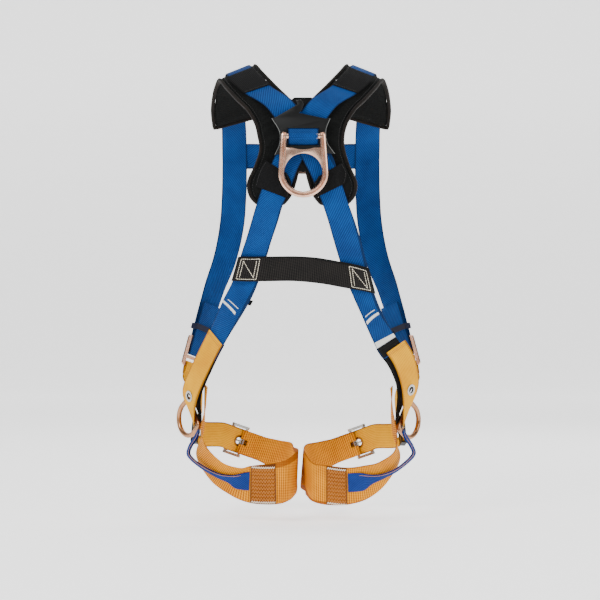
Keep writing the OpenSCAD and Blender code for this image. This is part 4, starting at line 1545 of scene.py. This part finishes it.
@dataclass
class LumbarStrap:
    """The black strap across the back with its cream boxes."""

    def build(self) -> None:
        """Makes the strap and its stitches."""
        rails = [
            [back(-118, 389), back(-106, 431)], [back(-96, 388), back(-86, 431)],
            [vec(-52, -86, 388), vec(-46, -89, 431)], [vec(-8, -88, 388), vec(-4, -91, 431)],
            [vec(40, -87, 383), vec(34, -90, 428)], [back(84, 375), back(78, 420)],
            [back(127, 367), back(115, 412)],
        ]
        strap = Strap(rails, 0, 6, 7, WEB_T, wave=0.15)
        settle(strap.build("lumbar_strap_webbing", Finish.LUMBAR), ROOT, "black_webbing", "lumbar_strap")
        seam = Sewing("lumbar_boxes", Finish.CREAM_THREAD, 0.6)
        end = strap.lengths[-1]
        seam.box(strap, 8, 42, 4, 40)
        seam.box(strap, end - 42, end - 8, 4, 40)
        seam.done()


@dataclass
class Band:
    """A thin sewn band across a strap's outer face."""

    name: str
    strap: Strap
    length: float
    width: float
    left: float
    right: float
    finish: Finish
    slot: str
    slant: float = 0.0
    height: float = 0.3

    def build(self) -> None:
        """Makes the band, in millimetres along and across the strap."""
        rails = []
        for share in np.linspace(0, 1, 13):
            across = mix(self.left, self.right, share)
            at = self.length + self.slant * (across - self.left) / (self.right - self.left)
            rails.append([self.strap.spot(place, across, 0.0)[0] for place in (at + self.width, at)])
        band = Strap(rails, 0, len(rails) - 1, -0.2, self.height + 0.2, step=2)
        settle(band.build(self.name, self.finish), ROOT, self.slot)


def build_stripes(down_left: Strap, down_right: Strap) -> None:
    """Adds the white stripes above the hips.

    Args:
        down_left: The strap that comes down to the left hip.
        down_right: The strap that comes down to the right hip.
    """
    left, right = down_left.length(PE + 10) + 4, down_right.length(PE + 10) + 17
    end = down_right.length(PE + 11)
    white, black = (Finish.WHITE_BAND, "tan_stitching"), (Finish.BLACK, "black_webbing")
    for name, strap, start, width, near, far, (finish, slot), slant in (
        ("stripe_left", down_left, left, 5, 1, 35, white, 14),
        ("stripe_left_fine", down_left, left - 5, 1.6, 9, 36, white, 11),
        ("stripe_right", down_right, right, 5, 3, 42, white, -23),
        ("stripe_right_fine", down_right, right - 9, 1.6, 6, 36, white, -18),
        ("band_right", down_right, end - 11, 10, 0.6, 44.4, white, 0.0),
        ("band_right_black", down_right, end - 0.6, 22, 0.4, 44.6, black, 0.0),
    ):
        Band(name, strap, start, width, near, far, finish, slot, slant).build()


# ---------------------------------------------------------------- hips

@dataclass
class Hip:
    """One hip: yellow strap with its eyelets over a black backing, ring and link to the adjuster."""

    side: str
    line: list
    shift: list | float
    hip_apex: np.ndarray = field(default_factory=lambda: unit(vec(-0.488, 0.651, -0.571)))
    hip_out: np.ndarray = field(default_factory=lambda: unit(vec(-0.8, -0.6, 0)))
    bar_r: float = 4.5
    leg: float = 23.0
    ring_w: float = 50.0
    eyelet_r: float = 6.0

    def mirrored(self) -> bool:
        """Whether this is the right-hand side."""
        return self.side == "right"

    def over_here(self, p: np.ndarray) -> np.ndarray:
        """A point given on the left side, taken to this side."""
        return flip(p + RIGHT_SHIFT) if self.mirrored() else p

    def build(self) -> None:
        """Makes the hip's pieces."""
        first = YELLOW_START + (0.3 if self.mirrored() else 0.0)
        strap = Strap(self.line, first, LINE_END, HIP_LIFT, WEB_T, shift=self.shift, step=3)
        yellow = strap.build(f"hip_strap_{self.side}_webbing", Finish.YELLOW)
        for station in (PE + 13.6, RING_STATION + 1.35, RING_STATION + 2.6, BUCKLE_STATION, LINE_END - 0.4):
            middle = strap.face(station, 0.5, -WEB_T / 2)
            out = strap.frame(station)[2]
            cut(yellow, fresh_cylinder(self.eyelet_r + 0.9, 9, middle, out, 32))
        smooth(yellow)
        settle(yellow, ROOT, "yellow_webbing", f"hip_strap_{self.side}")
        edge = Strap(self.line, YELLOW_START, RING_STATION + 1.5, BACKING_LIFT, WEB_T, step=3)
        settle(edge.build(f"hip_backing_{self.side}_webbing", Finish.BLACK), ROOT, "black_webbing",
               f"hip_backing_{self.side}")
        first, last, lift = (10.72, 10.92, -6.6) if self.mirrored() else (9.84, 10.0, -2.9)
        tab = Strap(self.line, PE + first, PE + last, lift, 1.6, shift=4, step=1)
        settle(tab.build(f"strap_tab_{self.side}_webbing", Finish.BLACK), ROOT, "black_webbing",
               f"strap_tab_{self.side}")
        self.link()
        self.ring()
        seam = Sewing(f"hip_seams_{self.side}", Finish.TAN_THREAD, 0.45)
        seam.line(strap, [(4, 3), (4, WEB_W - 3)])
        seam.line(strap, [(7, 3), (7, WEB_W - 3)])
        for across in (3.2, WEB_W - 3.2):
            seam.line(strap, [(4, across), (strap.length(RING_STATION - 0.7), across)])
        seam.done()

    def link(self) -> None:
        """The strap from the hip up to the torso adjuster."""
        shift = RIGHT_SHIFT if self.mirrored() else vec(0, 0, 0)
        down = [((-178, 41, 155), (-1, 0, 0)), ((-186, 47, 188), (-0.9, 0.4, 0))]
        top = [
            (-46, -4.4, 0, 1), (-34, -3.6, 0, 1), (-25, -4, 0, 1), (-19.6, -3.2, -0.7, 0.7),
            (-18.4, 0, -1, 0), (-19.6, 3.2, -0.7, -0.7), (-25, 4, 0, -1), (-42, 1.4, 0, -1),
        ]
        rails = edges([(vec(*c) + shift, f, WEB_W) for c, f in down] + straight_run(ADJUSTER, top, WEB_W))
        rails = flip_rails(rails) if self.mirrored() else rails
        strap = Strap(rails, 0, len(rails) - 1, 0, WEB_T, step=2)
        settle(strap.build(f"hip_link_{self.side}_webbing", Finish.YELLOW), ROOT, "yellow_webbing",
               f"hip_link_{self.side}")

    def ring(self) -> None:
        """The closed D ring, bent from round bar."""
        seat = Place.facing(vec(-197, 8, 155) - 7.7 * self.hip_out - 1.5 * self.hip_apex,
                            self.hip_apex, self.hip_out)
        r = self.ring_w / 2 + self.bar_r
        flat = []
        flat += [(0.0, y) for y in np.linspace(-r + 5, r - 5, 16)]
        flat += [(4 - 4 * math.cos(a), r - 4 + 4 * math.sin(a)) for a in np.linspace(0.2, math.pi / 2, 6)]
        flat += [(x, r) for x in np.linspace(7, self.leg, 6)]
        flat += [(self.leg + r * math.sin(a), r * math.cos(a)) for a in np.linspace(0.08, math.pi - 0.08, 44)]
        flat += [(x, -r) for x in np.linspace(self.leg, 7, 6)]
        flat += [(4 - 4 * math.cos(a), -r + 4 - 4 * math.sin(a)) for a in np.linspace(math.pi / 2, 0.2, 6)]
        bpy.ops.object.select_all(action="DESELECT")
        bpy.ops.mesh.primitive_circle_add(vertices=len(flat), radius=0.02, fill_type="NOTHING")
        piece = bpy.context.view_layer.objects.active
        place_points(piece, [self.over_here(seat.at((x, y, 0))) for x, y in flat])
        bpy.ops.object.convert(target="CURVE")
        curve = bpy.context.view_layer.objects.active
        curve.data.bevel_depth = self.bar_r * MM
        curve.data.bevel_resolution = 6
        curve.data.use_fill_caps = False
        bpy.ops.object.convert(target="MESH")
        ring = join(f"hip_ring_{self.side}_bar", [bpy.context.view_layer.objects.active])
        start_edit(ring)
        bpy.ops.mesh.remove_doubles(threshold=0.00001)
        bpy.ops.mesh.normals_make_consistent(inside=False)
        end_edit()
        ring.data.materials.clear()
        ring.data.materials.append(Shelf.get(Finish.BRONZE))
        smooth(ring, 50)
        settle(ring, f"hip_ring_{self.side}", "bronze_steel", f"hip_ring_{self.side}")


# ---------------------------------------------------------------- legs

SEAT_LEFT = [
    [(-170, 20, 204), (-163, -44, 202)], [(-171, 20, 165), (-167, -46, 165)],
    [(-172, 8, 122), (-174, -54, 128)], [(-184, -14, 82), (-164, -76, 101)],
    [(-160, -50, 42), (-136, -99, 75)], [(-126, -80, 18), (-105, -114, 66)],
    [(-88, -98, 4), (-86, -118, 70)], [(-43, -100, 2), (-44, -118, 75)],
    [(-20, -88, 8), (-21, -106, 82)], [(-10, -58, 16), (-7, -76, 94)], [(-9, -10, 16), (-7, -20, 93)],
]
SEAT_RIGHT = [
    [(-162, 20, 202), (-156, -44, 200)], [(-160, 20, 160), (-160, -46, 162)],
    [(-162, 6, 118), (-167, -54, 120)], [(-174, -16, 76), (-161, -76, 92)],
    [(-150, -54, 36), (-134, -100, 75)], [(-118, -82, 11), (-108, -115, 70)],
    [(-80, -98, 1), (-78, -118, 67)], [(-44, -100, 1), (-44, -118, 71)],
    [(-20, -88, 6), (-20, -106, 75)], [(-10, -58, 14), (-7, -76, 92)], [(-9, -10, 16), (-7, -20, 93)],
]
GROIN_ROUTE = [
    ((-11, 30, 58), (1, 0.1, 0.1), 72), ((-20, 72, 66), (0.75, 0.65, 0.1), 66),
    ((-44, 98, 74), (0.1, 1, 0.1), 54),
]
HEEL = 13.0
HEEL_WRAP = [
    (44, -5, 0, 1), (26, -5, 0, 1), (HEEL, -5, 0, 1), (HEEL - 3.6, -3.4, 0.7, 0.7), (HEEL - 5, 0, 1, 0),
    (HEEL - 3.6, 3.4, 0.7, -0.7), (HEEL, 5, 0, -1), (HEEL + 9, 3.2, -0.1, -1), (36, -0.4, -0.1, -1),
]
LINK_SPOTS = [
    (5.95, 0.85, 0.35, 2.2), (5.6, 0.85, 0.33, 2.4), (5.2, 0.82, 0.32, 2.8), (4.8, 0.72, 0.42, 3.4),
    (4.2, 0.58, 0.4, 5), (3.5, 0.34, 0.18, 8),
]
LINK_TOP = [
    ((-196, -16, 80), (-0.9, -0.5, 0), 11), ((-195, -12, 94), (-0.9, -0.4, 0), 12),
    ((-184, -14, 112), (-0.9, -0.3, 0.1), 14), ((-178.5, -17, 124), (-0.95, -0.2, 0.2), 14),
]


def on_strap(rails: list, s: float, share: float, lift: float) -> np.ndarray:
    """A point on a strap: station, share of its width and height over its inner face."""
    strap = Strap(rails, s, s + 0.2, 0.0, 0.0)
    return strap.face(s, share, lift)


@dataclass
class Leg:
    """One leg: the wide loop, its sewn patch and the folded link up to the hip."""

    side: str
    seat: list

    def rails(self) -> list:
        """The loop's edges on the left side."""
        shift = RIGHT_SHIFT if self.side == "right" else vec(0, 0, 0)
        end = edges(list(GROIN_ROUTE) + straight_run(LEG_BUCKLE, HEEL_WRAP, WEB_W - 1))
        return [[vec(*a), vec(*b)] for a, b in self.seat] + [[a + shift, b + shift] for a, b in end]

    def here(self, rails: list) -> list:
        """Edges taken to this side."""
        return flip_rails(rails) if self.side == "right" else rails

    def build(self) -> None:
        """Makes the leg's pieces."""
        rails = self.rails()
        loop = Strap(self.here(rails), 0, len(rails) - 1, 0, WEB_T, wave=0.2)
        piece = loop.build(f"leg_loop_{self.side}_webbing", Finish.LEG)
        shift = RIGHT_SHIFT if self.side == "right" else vec(0, 0, 0)
        centre = LEG_BUCKLE.at((HEEL - 1, 0, 0)) + shift
        slot = fresh_box((16, 10, 16), (0, 0, 0))
        corners = [vec(*v.co) / MM for v in slot.data.vertices]
        moved = [centre + LEG_BUCKLE.turn(c) for c in corners]
        place_points(slot, [flip(p) if self.side == "right" else p for p in moved])
        start_edit(slot)
        bpy.ops.mesh.normals_make_consistent(inside=False)
        end_edit()
        cut(piece, slot)
        smooth(piece)
        settle(piece, ROOT, "yellow_webbing", f"leg_loop_{self.side}")
        self.patch()
        self.link()

    def patch(self) -> None:
        """The tan patch under the buttock with its dense zig-zag."""
        rails = self.here([[vec(*a), vec(*b)] for a, b in self.seat])
        strap = Strap(rails, 6, 7, WEB_T + 0.3, 1.2, inset=1, step=3)
        settle(strap.build(f"seat_patch_{self.side}_webbing", Finish.PATCH), ROOT, "tan_stitching",
               f"seat_patch_{self.side}")
        end = strap.lengths[-1]
        rows = Sewing(f"seat_zigzag_{self.side}", Finish.TAN_THREAD, 0.55)
        for k in range(9):
            across = 9 + k * 6.6
            rows.zigzag(strap, (3, across), (end - 3, across), 5.4, 2.2)
        rows.done()
        ends = Sewing(f"seat_rows_{self.side}", Finish.CREAM_THREAD, 0.6)
        for across in (3.2, 66.5):
            ends.zigzag(strap, (2, across), (end - 2, across), 3.6, 1.9)
        ends.done()
        sides = Sewing(f"seat_edges_{self.side}", Finish.BLACK_THREAD, 0.6)
        for length in (1.2, end - 1.2):
            sides.line(strap, [(length, 2), (length, 68)], pitch=3.2, gap=1.2)
        sides.done()

    def link(self) -> None:
        """The blue link, folded over on its way to the hip."""
        seat = [[vec(*a), vec(*b)] for a, b in self.seat]
        rails = [[on_strap(seat, s, a, h), on_strap(seat, s, b, h)] for s, a, b, h in LINK_SPOTS]
        rails = self.here(rails + edges([(vec(*c), f, w) for c, f, w in LINK_TOP]))
        strap = Strap(rails, 0, 9, 0, [(1, WEB_T), (3, 3.4), (9, 3.4)], step=2.5)
        settle(strap.build(f"seat_link_{self.side}_webbing", Finish.LINK), ROOT, "link_webbing",
               f"seat_link_{self.side}")
        seam = Sewing(f"seat_link_seam_{self.side}", Finish.GOLD_THREAD, 0.5)
        for s in np.arange(1.6, 8.7, 0.09):
            mirrored = self.side == "right"
            share = 0.88 if mirrored else 0.12
            seam.stitch(strap.face(s, share, 0.1), strap.face(s + 0.07, share, 0.1), strap.frame(s)[2])
        seam.done()


# ---------------------------------------------------------------- chest

CHEST = Place.facing((0, 132, 618), (1, 0, 0), (0, 1, 0))
LEFT_RUN = [
    (-60, -6, 0, 1), (-36, -5.2, 0, 1), (-26, -4, 0, 1), (-20.6, -3.4, -0.6, 0.6), (-19.4, 0, -1, 0),
    (-20.6, 3.4, -0.6, -0.6), (-30, 4.2, 0, -1), (-44, 1, 0, -1), (-56, -1, 0, -1),
]
RIGHT_RUN = [
    (58, -2, 0, 1), (44, -0.4, 0, 1), (31, -0.2, 0, 1), (27.6, 1.2, 0.6, 0.6), (26.3, 4.5, 1, 0),
    (27.6, 7.8, 0.6, -0.6), (31, 9.2, 0, -1), (44, 6, 0, -1), (72, 4, 0, -1),
]


@dataclass
class ChestStrap:
    """The two halves of the chest strap."""

    def build(self) -> None:
        """Makes both halves with their sewn ends."""
        start = [[on_strap(FRONT, CHEST_END - 0.05, share, CHEST_RISE + WEB_T + 2),
                  on_strap(FRONT, CHEST_END - 1.1, share, WEB_T + 2)] for share in (0.04, 0.5, 1)]
        for side, head, run in (("left", start, LEFT_RUN), ("right", flip_rails(start), RIGHT_RUN)):
            rails = head + edges(straight_run(CHEST, run, WEB_W))
            strap = Strap(rails, 0, len(rails) - 1, 0, WEB_T, step=2.5)
            settle(strap.build(f"chest_strap_{side}_webbing", Finish.BLUE), ROOT, "blue_webbing",
                   f"chest_strap_{side}")
            seam = Sewing(f"chest_seams_{side}", Finish.WHITE_THREAD, 0.45)
            seam.box(strap, 4, 38, 5, 40)
            seam.done()


# ---------------------------------------------------------------- kept hardware

HARDWARE = {
    "adjuster_frame": Finish.ZINC, "adjuster_bar": Finish.DARK_STEEL, "tail_keeper": Finish.NAVY,
    "hip_keeper": Finish.KEEPER, "eyelets": Finish.STEEL, "leg_buckle_frame": Finish.STEEL,
    "leg_buckle_tongue": Finish.STEEL, "leg_buckle_roller": Finish.STEEL,
    "chest_frame": Finish.ZINC, "chest_plate": Finish.ZINC, "chest_keeper": Finish.NAVY,
}


def finish_hardware(nodes: dict[str, bpy.types.Object]) -> None:
    """Gives each kept part of the frame its finish.

    Args:
        nodes: The frame's parts by name.
    """
    for name, node in nodes.items():
        for start, finish in HARDWARE.items():
            if name.startswith(start):
                if not node.material_slots:
                    node.data.materials.append(None)
                for slot in node.material_slots:
                    slot.link = "OBJECT"
                    slot.material = Shelf.get(finish)
                LOG.info("%s keeps its shape, in %s", name, finish.value.name)


# ---------------------------------------------------------------- studio

@dataclass
class Studio:
    """Plain pale sweep, soft lamps and the camera square to the wearer's back."""

    floor: float = -0.03
    half_width: float = 12.0
    bend: float = 5.0
    bend_r: float = 1.4
    wall_top: float = 6.0
    glow: float = 1.1
    ambient: float = 0.32
    distance: float = 4.0
    eye: float = 0.355
    lens: float = 135.3

    def build(self) -> None:
        """Makes the sweep, the lamps and the camera."""
        r, side = self.bend_r, self.half_width
        profile = [(-side, self.floor), (self.bend, self.floor)]
        profile += [(self.bend + r * math.sin(a), self.floor + r - r * math.cos(a))
                    for a in np.linspace(0.1, math.pi / 2, 14)]
        profile += [(self.bend + r, self.wall_top)]
        points = [(x / MM, y / MM, z / MM) for y, z in profile for x in (-side, side)]
        faces = [(2 * k, 2 * k + 1, 2 * k + 3, 2 * k + 2) for k in range(len(profile) - 1)]
        sweep = add_mesh("studio_sweep", points, faces, Finish.STUDIO, angle=60)
        glow = Shelf.get(Finish.STUDIO).node_tree.nodes["Principled BSDF"].inputs
        glow["Emission Color"].default_value = (1, 1, 1, 1)
        glow["Emission Strength"].default_value = self.glow
        self.lamp("key", (-1.7, -2.6, 2.3), 1.5, 74)
        self.lamp("fill", (2.2, -2.2, 1.5), 1.8, 40)
        self.lamp("top", (0, 0.2, 3.2), 2.0, 40)
        self.lamp("rim", (0.6, 2.2, 1.8), 1.6, 20)
        world = bpy.data.worlds.new("studio_light")
        world.use_nodes = True
        world.node_tree.nodes["Background"].inputs["Color"].default_value = (1, 1, 1, 1)
        world.node_tree.nodes["Background"].inputs["Strength"].default_value = self.ambient
        bpy.context.scene.world = world
        camera = bpy.data.cameras.new("camera")
        camera.lens = self.lens
        camera.sensor_width = 36
        piece = bpy.data.objects.new("camera", camera)
        piece.location = (-0.0017, -self.distance, self.eye)
        piece.rotation_euler = (math.pi / 2, 0, 0)
        bpy.context.scene.collection.objects.link(piece)
        bpy.context.scene.camera = piece

    def lamp(self, name: str, place: tuple, size: float, power: float) -> None:
        """One soft square lamp aimed at the harness.

        Args:
            name: Its name.
            place: Where it stands, in metres.
            size: Its side in metres.
            power: Its power in watts.
        """
        light = bpy.data.lights.new(name, "AREA")
        light.shape = "SQUARE"
        light.size = size
        light.energy = power
        piece = bpy.data.objects.new(name, light)
        piece.location = place
        piece.rotation_euler = (Vector((0, 0, 0.36)) - Vector(place)).to_track_quat("-Z", "Y").to_euler()
        bpy.context.scene.collection.objects.link(piece)


def main() -> None:
    """Dresses the frame."""
    logging.basicConfig(level=logging.INFO, format="%(name)s: %(message)s")
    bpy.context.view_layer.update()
    for side, rails in (("left", PAD_LEFT), ("right", PAD_RIGHT)):
        ShoulderPad(side, rails).build()
    left = BodyStrap("left", LINE_LEFT, WEB_T + 1.2)
    right = BodyStrap("right", LINE_RIGHT, 0)
    left.build()
    right.build()
    build_stripes(right.strap(), left.strap())
    Shoulders().build()
    DorsalPlate().build()
    DorsalLoop().build()
    DorsalRing().build()
    LumbarStrap().build()
    Hip("left", LINE_RIGHT, 0.0).build()
    Hip("right", LINE_LEFT, YELLOW_SHIFT).build()
    Leg("left", SEAT_LEFT).build()
    Leg("right", SEAT_RIGHT).build()
    ChestStrap().build()
    finish_hardware(frame["nodes"])
    Studio().build()


if __name__ == "__main__":
    main()
